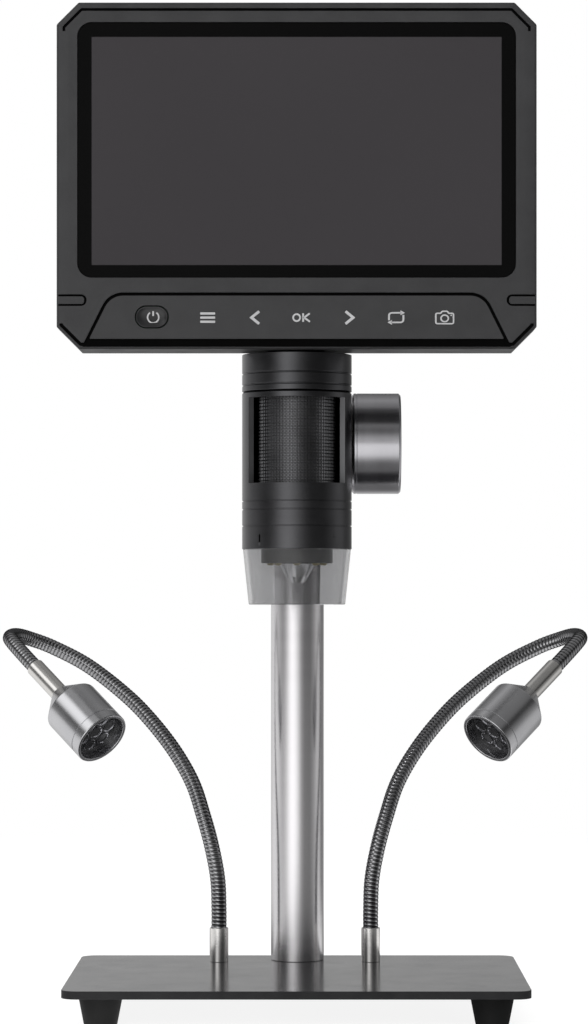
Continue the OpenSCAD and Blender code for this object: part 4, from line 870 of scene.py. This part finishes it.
# The ring's knurl is cut sharp and blasted after, which gives it a broader gloss; its lighter grey than the
# tube is a painted highlight for the light its pads catch
knurl_highlight_anodised = finish(
    "knurled_anodised_painted_highlight", "6c6c6e", "78787a", 0.5, (0.3, 0.36), relief=0.003, Metallic=1.0
)
shell = turned("tube_shell", rounded(tube_line, 0.1, 3), 144, True, turn=tube_place)
far = 60
across, ahead = far * math.sin(WINDOW_SWING), far * math.cos(WINDOW_SWING)
wedge = prism(
    "wedge", [[(0, 0), (-across, -ahead), (-far, -far), (far, -far), (across, -ahead)]],
    WINDOW_LOW, WINDOW_HIGH, tube_place,
)
forwards = Matrix.Rotation(math.radians(90), 4, "X")
slot = prism(
    "slot", [rounded([(-0.5, -2.35), (0.5, -2.35), (0.5, 2.35), (-0.5, 2.35)], 0.45, 4)], 12, 30,
    tube_place @ at(-14.35, 0, TUBE_BOTTOM + 3.2) @ forwards,
)
dimple = turned(
    "dimple", [(0, 14.4), (0.6, 14.8), (0.6, 30), (0, 30)], 24,
    turn=tube_place @ at(14.35, 0, TUBE_BOTTOM + 4.8) @ forwards,
)
shell.data.materials.append(black_anodised)
# The window's cut faces take the painted highlight
wedge.data.materials.append(window_edge_highlight)
for cutter in (slot, dimple):
    cutter.data.materials.append(black_anodised)
carve(shell, wedge, slot, dimple)
soften(shell, 0.18, 45, 2)
settle(shell, None, "head", "tube_shell", "tube_body")
tube_head = from_node("tube_head", "tube_cap", 0.25, 40)
settle(tube_head, black_anodised, "head", "tube_shell", "tube_cap")

# ---- Focus ring ----
# A knurled ring of black anodised aluminium behind the window, turned with a fingertip.
# Its square knurl is a tree of small raised pads, in columns and rows, on a turned core.

RING_R, RING_HALF = 15.0, 21.1
KNURL_DEPTH = 0.32
knurl, given = new_tree(
    "square_knurl", Radius=1.0, Height=1.0, Columns=72, Rows=30, Pad=1.0, Rise=1.0,
    Finish=knurl_highlight_anodised,
)
unit = add(
    knurl, "GeometryNodeMeshGrid",
    {"Size X": 1.0, "Size Y": 1.0, "Vertices X": given["Columns"], "Vertices Y": given["Rows"]},
).outputs["Mesh"]
spot = add(knurl, "ShaderNodeSeparateXYZ", {0: out_of(knurl, "GeometryNodeInputPosition")}).outputs
fewer = reckon(knurl, "SUBTRACT", given["Columns"], 1.0)
full = reckon(knurl, "MULTIPLY", reckon(knurl, "DIVIDE", fewer, given["Columns"]), 2 * math.pi)
angle = reckon(knurl, "MULTIPLY", spot[0], full)
rolled = out_of(
    knurl, "ShaderNodeCombineXYZ",
    {
        0: reckon(knurl, "MULTIPLY", reckon(knurl, "COSINE", angle), given["Radius"]),
        1: reckon(knurl, "MULTIPLY", reckon(knurl, "SINE", angle), given["Radius"]),
        2: reckon(knurl, "MULTIPLY", spot[1], given["Height"]),
    },
)
pad = add(
    knurl, "GeometryNodeMeshCone",
    {
        "Vertices": 4, "Radius Top": reckon(knurl, "MULTIPLY", given["Pad"], 0.62),
        "Radius Bottom": given["Pad"], "Depth": given["Rise"],
    },
    fill_type="NGON",
).outputs["Mesh"]
for tilt in ((0, 0, math.pi / 4), (0, math.pi / 2, 0)):
    pad = out_of(knurl, "GeometryNodeTransform", {"Geometry": pad, "Rotation": Euler(tilt)})
angles = stored(knurl, unit, "angle", angle)
laid = out_of(knurl, "GeometryNodeSetPosition", {"Geometry": angles, "Position": rolled})
turning = out_of(knurl, "ShaderNodeCombineXYZ", {2: recalled(knurl, "angle")})
turning = out_of(knurl, "FunctionNodeEulerToRotation", {0: turning})
placed = {"Points": laid, "Instance": pad, "Rotation": turning}
close_tree(knurl, out_of(knurl, "GeometryNodeInstanceOnPoints", placed), given["Finish"])
pads = grow(
    "ring_knurl", knurl, Radius=(RING_R - KNURL_DEPTH) * MM, Height=2 * (RING_HALF - 1.2) * MM,
    Columns=72, Rows=32, Pad=0.76 * MM, Rise=KNURL_DEPTH * MM, Finish=knurl_highlight_anodised,
)
pads.data.transform(tube_place)
settle(pads, None, "ring", "ring_metal")
core = lathe(
    "ring_core",
    [(RING_R - KNURL_DEPTH, -RING_HALF + 0.7, 0.1), (RING_R - 0.1, -RING_HALF + 0.5, 0.1),
     (RING_R - 0.1, -RING_HALF, 0.1), (12.65, -RING_HALF, 0), (12.65, RING_HALF, 0),
     (RING_R - 0.1, RING_HALF, 0.1), (RING_R - 0.1, RING_HALF - 0.5, 0.1),
     (RING_R - KNURL_DEPTH, RING_HALF - 0.7, 0.1)],
    128, tube_place,
)
settle(core, knurl_highlight_anodised, "ring", "ring_metal", "focus_ring")

# ---- Light ring, nose and shield ----
# A black ring with eight light points under the tube, a grey nose cone, and a shield.
# The shield is clear acrylic, moulded, and slides over the tube's lower end.

nose_metal = finish(
    "polished_aluminium", "b4b4b6", "bebec0", 0.7, (0.14, 0.19), relief=0.001, Metallic=1.0
)
# Black nylon: a satin skin that stays nearly black behind the smoky shield
black_nylon = finish("moulded_black_nylon", "101011", "161617", 1.2, (0.35, 0.45), relief=0.004)
COLLAR_Z = TUBE_BOTTOM - 5.4
collar = lathe(
    "light_collar",
    [(NOSE_BORE, COLLAR_Z, 0.1), (13.7, COLLAR_Z, 0.5), (13.7, TUBE_BOTTOM - 0.02, 0.1),
     (NOSE_BORE, TUBE_BOTTOM - 0.02, 0)],
    96, tube_place,
)
settle(collar, black_nylon, "head", "black_plastic", "light_ring")
points = set_out(
    "nose_light_points", cup_set,
    [(1.4, COLLAR_Z + 0.3), (1.4, COLLAR_Z - 0.3), (1.1, COLLAR_Z - 0.65),
     (0.6, COLLAR_Z - 0.8), (0, COLLAR_Z - 0.8)],
    16, False, tube_place, Finish=yellow_gel, Radius=10.1 * MM, Count=8, Middle=0,
)
settle(points, None, "head", "lamp_lens")
nose = lathe(
    "nose_tip",
    [(1.5, COLLAR_Z - 7.6, 0.1), (2.6, COLLAR_Z - 7.6, 0.8), (4.4, COLLAR_Z - 5.0, 3.0),
     (7.0, COLLAR_Z - 0.05, 0.3), (6.5, COLLAR_Z - 0.05, 0), (6.5, TUBE_BOTTOM + 2.5, 0),
     (9.5, TUBE_BOTTOM + 2.5, 0.2), (9.5, TUBE_BOTTOM + 4, 0.2), (5.3, TUBE_BOTTOM + 4, 0),
     (5.3, COLLAR_Z + 0.3, 0)],
    96, tube_place,
)
settle(nose, nose_metal, "head", "nose_metal", "nose_cone")

# Clear acrylic: a smoky grey in its thickness, with polished walls
acrylic = finish(
    "smoked_clear_acrylic", "b9b9ba", "c1c1c2", 1.5, (0.01, 0.03), relief=0.0005, IOR=1.49,
    Transmission_Weight=1.0,
)
shield = lathe(
    "shield_cup",
    [(20.7, TUBE_BOTTOM - 0.02, 0.1), (18.5, TUBE_BOTTOM - 21.2, 0.45),
     (17.1, TUBE_BOTTOM - 21.2, 0.45), (19.3, TUBE_BOTTOM - 0.02, 0.1)],
    144, tube_place, rounds=6,
)
settle(shield, acrylic, "head", "clear_plastic", "clear_shield")

# ---- Focus knob ----
# A turned aluminium knob on a steel shaft at the tube's right, anodised gunmetal.
# Its side is brushed round the axis and its face is dished, with fine turning rings.

KNOB_Y, KNOB_X, KNOB_R = 21.37, 21.3, 19.55
knob_place = tube_place @ at(KNOB_X, KNOB_Y) @ Matrix.Rotation(math.radians(90), 4, "Y")
# Brushed gunmetal: lines 0.4 mm apart round the axis, drawn coarser so that they show
gunmetal = finish(
    "brushed_gunmetal_aluminium", "c0bfc3", "cac9cd", 1.2, (0.2, 0.26), stretch=(3.2, 0.12, 0.12),
    relief=0.002, Metallic=1.0,
)
face_rings = []
for k in range(9):
    face_rings += [(14.6 - 1.5 * k, 18.1, 0.05), (14.3 - 1.5 * k, 18.02, 0)]
knob = lathe(
    "knob_grip",
    [(3.0, 0, 0), (18.7, 0, 0.3), (KNOB_R, 0.8, 0.4), (KNOB_R, 1.6, 0.05), (19.4, 1.7, 0),
     (19.4, 1.9, 0), (KNOB_R, 2.0, 0.05), (KNOB_R, 18.1, 0.4), (18.75, 18.9, 0.4),
     (16.6, 18.9, 0.3), (15.9, 18.1, 0.3), *face_rings, (0, 18.1, 0)],
    144, knob_place, False, 0.2, 4, 50,
)
settle(knob, gunmetal, "knob", "knob_aluminium", "focus_knob")

# ---- Screen case ----
# Two shells of black ABS, moulded with a fine grain, bevelled at their four corners.
# The front one has narrow grooves near its edge, seats for glass and key film, and marks.

HINGE_Y, HINGE_Z = -10.875, 258.3
UPRIGHT = at(POST_X, HINGE_Y, HINGE_Z) @ Matrix.Rotation(math.radians(90), 4, "X")
CASE_W, CASE_LOW, CASE_HIGH = 180.5, -6.8, 123.5
CASE_CORNER, CASE_SOFT = 8.3, 1.2
CASE_FRONT, PARTING = 32, 20
GLASS_MID, PICTURE_MID = 67.9, 67.55
FILM_LOW, FILM_H, FILM_TOP_W, FILM_LOW_W, FILM_CORNER = -3.0, 16.2, 139.6, 155.8, 7.5
KEY_Z, POWER_X = 5.2, -54.4


def case_outline(inset):
    """The case's outline, with bevelled corners, drawn inwards by one distance."""
    w, low, high = CASE_W / 2 - inset, CASE_LOW + inset, CASE_HIGH - inset
    c = CASE_CORNER - inset * (2 - math.sqrt(2))
    return rounded(
        [(-w, low + c), (-w + c, low), (w - c, low), (w, low + c),
         (w, high - c), (w - c, high), (-w + c, high), (-w, high - c)],
        max(CASE_SOFT - inset * 0.3, 0.3), 4,
    )


def film_outline(grow_by=0.0, drop=0.0):
    """The key film's outline, with round upper corners, grown and drawn further down."""
    lean = math.atan((FILM_LOW_W - FILM_TOP_W) / 2 / FILM_H)
    top = FILM_LOW + FILM_H + grow_by
    half_low = FILM_LOW_W / 2 + grow_by / math.cos(lean) + drop * math.tan(lean)
    half_high = half_low - (FILM_H + grow_by + drop) * math.tan(lean)
    return rounded(
        [(-half_low, FILM_LOW - drop, 0.3), (half_low, FILM_LOW - drop, 0.3),
         (half_high, top, FILM_CORNER + grow_by), (-half_high, top, FILM_CORNER + grow_by)],
        0, 12,
    )


def shifted(outline, x, y):
    """An outline moved in its plane."""
    return [(p[0] + x, p[1] + y) for p in outline]


def obround(width, height, x=0.0, y=0.0):
    """A slot with round ends round a point."""
    return shifted(round_rect(width, height, height / 2 - 0.01, 10), x, y)


# Moulded ABS: charcoal black with a spark-eroded grain of 0.6 mm
case_abs = finish(
    "charcoal_abs", "303031", "373738", 0.6, (0.4, 0.5), relief=0.01, IOR=1.5,
    Specular_IOR_Level=0.35,
)
# Painted shade: near-black sheets for the unlit inside of grooves and the floors of gaps and seats
shade_black = finish(
    "painted_shade_black", "020202", "050505", 0.8, (0.6, 0.7), relief=0.01, Specular_IOR_Level=0.05
)

glass_seat = shifted(round_rect(164.8, 96.0, 5.4, 10), 0, GLASS_MID)
picture = shifted(round_rect(156.6, 88.3, 0.6), 0, PICTURE_MID)
POWER_HOLE = obround(12.8, 8.7, POWER_X, KEY_Z)
SIDE_MARK_Z = CASE_LOW + 18.3


def lofted(name, rings, turn):
    """A solid drawn through outlines of one count, each with its height, in millimetres."""
    bm = bmesh.new()
    loops = [[bm.verts.new((x * MM, y * MM, z * MM)) for x, y in ring] for ring, z in rings]
    for low, high in zip(loops, loops[1:]):
        for k in range(len(low)):
            n = (k + 1) % len(low)
            bm.faces.new([low[k], low[n], high[n], high[k]])
    bm.faces.new(loops[-1])
    bm.faces.new(loops[0][::-1])
    bmesh.ops.remove_doubles(bm, verts=bm.verts, dist=1e-6)
    return solid_of(name, bm, turn)


# The front's edge: a 1.6 mm round, then a slope that rises 0.3 mm towards the face
EDGE_R, SLOPE_TO, SLOPE_H = 1.6, 5.0, 0.3
rim = [(case_outline(0), PARTING + 0.08)]
for k in range(7):
    swing = math.radians(80 * k / 6)
    rim.append((
        case_outline(EDGE_R * (1 - math.cos(swing))),
        CASE_FRONT - SLOPE_H - EDGE_R * (1 - math.sin(swing)),
    ))
rim.append((case_outline(SLOPE_TO), CASE_FRONT))
bezel = lofted("bezel_block", rim, UPRIGHT)


def corner_strips(name, inset, width, low, high):
    """Narrow solids along the case's edge: one round its top, two at its lower bevels."""
    top, foot = (
        prism(name, [case_outline(outer), case_outline(inner)], low, high, UPRIGHT)
        for outer, inner in ((inset, inset + width), (inset - 1.2, inset + width - 1.0))
    )
    below, above, middle = (
        prism(
            "cutter", [[(-side, start), (side, start), (side, end), (-side, end)]],
            low - 1, high + 1, UPRIGHT,
        )
        for side, start, end in (
            (200, -50, CASE_HIGH - 11), (200, CASE_LOW + 9.6, 200), (76, -50, 20),
        )
    )
    carve(top, below)
    carve(foot, above, middle)
    return top, foot


def joined(name, pieces):
    """One piece out of several."""
    bm = bmesh.new()
    for piece in pieces:
        bm.from_mesh(piece.data)
        bpy.data.objects.remove(piece)
    return solid_of(name, bm, outward=False)


strips = corner_strips("strip", 2.3, 1.1, CASE_FRONT - 0.9, CASE_FRONT + 2)
side_marks = [
    prism("mark", [obround(24, 4.4, side * (CASE_W / 2 + 0.6), SIDE_MARK_Z)],
          CASE_FRONT - 1.1, CASE_FRONT + 2, UPRIGHT)
    for side in (-1, 1)
]
seats = [
    prism("seat", [outline], low, CASE_FRONT + high, UPRIGHT)
    for outline, low, high in (
        (case_outline(2.4), PARTING - 3, -2.6), (glass_seat, CASE_FRONT - 1.7, 2),
        (picture, CASE_FRONT - 4, 1), (film_outline(1.2, 3.0), CASE_FRONT - 1.0, 2),
        (POWER_HOLE, CASE_FRONT - 4, 0),
    )
]
carve(bezel, *seats, *strips, *side_marks)
soften(bezel, 0.18, 50, 2)
settle(bezel, case_abs, "screen", "case_plastic", "front_bezel")

# Painted shade: near-black sheets on the groove's floor, the gap round the film and the floors of the side
# marks
inlay = prism(
    "film_gasket", [film_outline(1.15, 2.95)], CASE_FRONT - 1.0, CASE_FRONT - 0.93, UPRIGHT
)
carve(inlay, prism("hole", [POWER_HOLE], CASE_FRONT - 4, CASE_FRONT, UPRIGHT))
settle(inlay, shade_black, "screen", "black_plastic")
for word, strip in zip(
    ("top", "low"), corner_strips("inlay", 2.33, 1.04, CASE_FRONT - 0.9, CASE_FRONT - 0.8)
):
    settle(joined(word + "_strip_inlay", [strip]), shade_black, "screen", "black_plastic")


def side_slab(name, side, near, far, half, ends, steps, top, strong=()):
    """A slab in a side mark, between two distances from the case's edge, round at its end."""
    first, last = side * (CASE_W / 2 - near), side * (CASE_W / 2 - far)
    outline = rounded(
        [(first, -half, 0.1), (last, -half, ends), (last, half, ends), (first, half, 0.1)], 1, steps
    )
    place = UPRIGHT @ at(0, SIDE_MARK_Z)
    return prism(name, [outline], CASE_FRONT - 1.1, CASE_FRONT - top, place, strong)


for side, word in ((-1, "left"), (1, "right")):
    mark = side_slab(word + "_mark_insert", side, 0.6, 10.4, 1.4, 1.0, 5, 0.35, (0,))
    settle(soften(mark, 0.15, weighted=True), case_abs, "screen", "case_plastic")
    # Painted shade: a near-black floor in each side mark
    side_mark_shade = side_slab(word + "_mark_floor", side, 0.7, 11.35, 2.15, 2.0, 6, 1.02)
    settle(side_mark_shade, shade_black, "screen", "black_plastic")

rear = from_node("rear_case", "rear_shell", 0.4, 40, 3)
settle(rear, case_abs, "screen", "case_plastic", "rear_shell")

# ---- Picture panel and glass ----
# One cover glass lies in the front shell, printed black behind its edge.
# Its middle carries the warm dark grey of the unlit picture panel behind it.

PICTURE_HALF_W, PICTURE_HALF_H = 77.1, 42.95
# Cover glass: tempered, anti-glare, so a faint soft gloss over black print and panel
cover, tree, shader = new_surface("printed_cover_glass")
spot = add(tree, "ShaderNodeTexCoord").outputs["Object"]
where = add(tree, "ShaderNodeSeparateXYZ", {0: spot}).outputs
inside = []
for value, centre, half in (
    (where[0], POST_X, PICTURE_HALF_W), (where[2], HINGE_Z + PICTURE_MID, PICTURE_HALF_H),
):
    away = reckon(tree, "ABSOLUTE", reckon(tree, "SUBTRACT", value, centre * MM))
    inside.append(spread(tree, away, half * MM, (half - 0.25) * MM))
mask = reckon(tree, "MULTIPLY", *inside)
cells = out_of(tree, "ShaderNodeTexNoise", {"Vector": spot, "Scale": 9.0, "Detail": 1.0})
panel_grey = mixed(tree, cells, linear("373537"), linear("3e3c3e"))
tree.links.new(mixed(tree, mask, linear("080808"), panel_grey), shader.inputs["Base Color"])
shader.inputs["Roughness"].default_value = 0.22
shader.inputs["Specular IOR Level"].default_value = 0.05
pane = prism(
    "cover_pane", [shifted(round_rect(164.6, 95.8, 5.3, 10), 0, GLASS_MID)],
    CASE_FRONT - 1.7, CASE_FRONT - 0.6, UPRIGHT, strong=(0,),
)
soften(pane, 0.12, weighted=True)
settle(pane, cover, "screen", "cover_glass", "screen_glass")

# ---- Key film ----
# A polyester film in a trapezoid, printed dark grey, with the keys' marks in white.
# The power button stands in its own hole; the other keys lie behind the film.

FILM_FRONT = CASE_FRONT - 0.4
film_grey = finish("printed_polyester_film", "2b2b2c", "313132", 0.5, (0.36, 0.44), relief=0.006)
film = prism(
    "key_sheet", [film_outline(), POWER_HOLE], FILM_FRONT - 0.6, FILM_FRONT, UPRIGHT, strong=(0, 1)
)
soften(film, 0.2, weighted=True)
settle(film, film_grey, "screen", "key_film", "key_film")

# White print: a matt screen ink, a few hundredths of a millimetre thick
white_ink = finish("white_screen_ink", "adadae", "b8b8b9", 0.5, (0.5, 0.6))
INK = (FILM_FRONT - 0.01, FILM_FRONT + 0.03)
MARK_Z = KEY_Z - 0.25


def ribbon(line, width, closed=False):
    """The outline of a stroke of one width along a line, or its two outlines if closed."""
    points = [Vector(p) for p in line]
    count = len(points)
    sides = ([], [])
    for i, here in enumerate(points):
        ways = []
        if closed or i:
            ways.append((here - points[i - 1]).normalized())
        if closed or i < count - 1:
            ways.append((points[(i + 1) % count] - here).normalized())
        normal = Vector((0, 0))
        for w in ways:
            normal += Vector((-w.y, w.x))
        normal.normalize()
        stretch = 1 / max(normal.dot(Vector((-ways[0].y, ways[0].x))), 0.4)
        for sign, out in zip((1, -1), sides):
            out.append(tuple(here + normal * sign * width / 2 * stretch))
    return list(sides) if closed else [sides[0] + sides[1][::-1]]


def arc(radius, first, last, steps, x=0.0, y=0.0):
    """Points of an arc between two angles in degrees."""
    turns = [math.radians(first + (last - first) * k / steps) for k in range(steps + 1)]
    return [(x + radius * math.cos(turn), y + radius * math.sin(turn)) for turn in turns]


key_middles = [11.1 + (i - 2.5) * 17.8 for i in range(6)]
marks = []


def mark_at(x, *shapes, width=1.0, height=1.0):
    """Notes the shapes of one mark, scaled and moved to its key."""
    for outlines in shapes:
        marks.append([[(p[0] * width + x, p[1] * height + MARK_Z) for p in o] for o in outlines])


mark_at(
    key_middles[0],
    *([shifted(round_rect(5.6, 0.85, 0.2, 2), 0, level)] for level in (1.55, 0, -1.55)),
)
mark_at(key_middles[1], ribbon([(1.7, 2.6), (-1.5, 0), (1.7, -2.6)], 1.1), width=0.9, height=0.9)
mark_at(
    key_middles[2] - 0.3,
    ribbon(arc(1.3, 0, 345, 23, -1.9), 0.62, True), ribbon([(0.55, 1.6), (0.55, -1.6)], 0.7),
    ribbon([(3.0, 1.55), (0.9, 0.0), (3.1, -1.55)], 0.68),
)
mark_at(
    key_middles[3] - 0.1, ribbon([(-1.7, 2.6), (1.5, 0), (-1.7, -2.6)], 1.1), width=0.9, height=0.9
)
mark_at(
    key_middles[4] - 0.4,
    ribbon(rounded([(-2.7, -1.2), (-2.7, 2.2), (1.9, 2.2)], 1.2, 6, False), 0.7),
    ribbon(rounded([(2.7, 1.2), (2.7, -2.2), (-1.9, -2.2)], 1.2, 6, False), 0.7),
    [[(1.6, 3.3), (3.3, 2.2), (1.6, 1.1)]], [[(-1.6, -3.3), (-3.3, -2.2), (-1.6, -1.1)]],
    height=0.82,
)
mark_at(
    key_middles[5],
    ribbon(
        rounded([(-3.5, -2.7), (3.5, -2.7), (3.5, 1.9), (1.6, 1.9), (1.0, 2.8), (-1.0, 2.8),
                 (-1.6, 1.9), (-3.5, 1.9)], 0.6, 3), 0.6, True,
    ),
    ribbon(arc(1.45, 0, 345, 23, 0, -0.35), 0.6, True),
    ribbon([(2.3, 1.0), (2.9, 1.0)], 0.5),
    width=0.95, height=0.85,
)
ink_pieces = [prism("ink", outlines, *INK, UPRIGHT) for outlines in marks]
settle(joined("key_marks", ink_pieces), white_ink, "screen", "key_film")

# The power button: dished ABS in a black hole, with its mark in the dish
button_abs = finish("dished_black_abs", "1e1e1f", "262627", 0.5, (0.3, 0.38), relief=0.006)
rings = []
for scale, level in (
    (1.0, -1.2), (1.0, 0.05), (0.985, 0.16), (0.95, 0.2), (0.91, 0.14), (0.86, -0.05),
    (0.76, -0.38), (0.62, -0.62), (0.45, -0.74), (0.25, -0.78), (0.08, -0.79),
):
    ring = [
        (x - math.copysign(min(abs(x), 3.9 * (1 - scale)), x), y * scale)
        for x, y in obround(11.9, 7.8)
    ]
    rings.append((ring, CASE_FRONT - 0.3 + level))
button = soften(lofted("power_dish", rings, UPRIGHT @ at(POWER_X, KEY_Z)), 0, 60)
settle(button, button_abs, "power", "power_button", "power_button")
dish = CASE_FRONT - 0.3 - 0.82
power_ink = joined("power_mark", [
    prism("ink", [shifted(o, POWER_X + 0.5, KEY_Z - 0.1) for o in outlines], dish, dish + 0.16,
          UPRIGHT)
    for outlines in (ribbon(arc(2.1, 125, 415, 40), 0.55), ribbon([(0, 0.5), (0, 2.75)], 0.6))
])
settle(power_ink, white_ink, "power", "power_button")

# ---- Hidden and rear parts ----
# Small parts inside the case, the tube and under the plate, seen through gaps or from below.
# They keep their solids, each with the finish of its real material.

bronze = finish("sintered_bronze", "8a6a3c", "9d7b49", 0.5, (0.34, 0.44), relief=0.01, Metallic=1.0)
nylon = finish("white_nylon", "d9d7d0", "e4e2dc", 0.6, (0.4, 0.5), relief=0.006, IOR=1.53)
solder_mask = finish("green_solder_mask", "15402a", "1a4a30", 0.7, (0.24, 0.34), relief=0.008)
foil = finish("grey_battery_wrap", "26292f", "2e3238", 0.8, (0.3, 0.4), relief=0.006)
lens_glass = finish(
    "coated_optical_glass", "e8eaf2", "f2f4fa", 2.0, (0.01, 0.03), IOR=1.52, Transmission_Weight=1.0
)
panel_dark = finish("unlit_panel", "1c1b1c", "222122", 1.0, (0.2, 0.3), IOR=1.5)
key_rubber = finish("black_silicone", "161616", "1c1c1c", 0.5, (0.5, 0.6), relief=0.008, IOR=1.43)
for material, names in (
    (zinc_steel, "post_screw socket_nuts arm_screws hinge_pin knob_shaft case_screws ports"),
    (zinc_steel, "driver_inlet"), (plain_abs, "driver_case lens_carrier carrier_cap"),
    (solder_mask, "sensor_board key_board main_board"),
    (bronze, "shaft_bushes"), (nylon, "knob_washer"), (can_metal, "lens_cell"),
    (lens_glass, "lens"), (panel_dark, "lcd_panel"), (foil, "battery"),
    (key_rubber, "menu_key left_key ok_key right_key rotate_key camera_key"),
):
    for name in names.split():
        node = nodes[name]
        node.data.materials.clear()
        node.data.materials.append(material)

low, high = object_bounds()
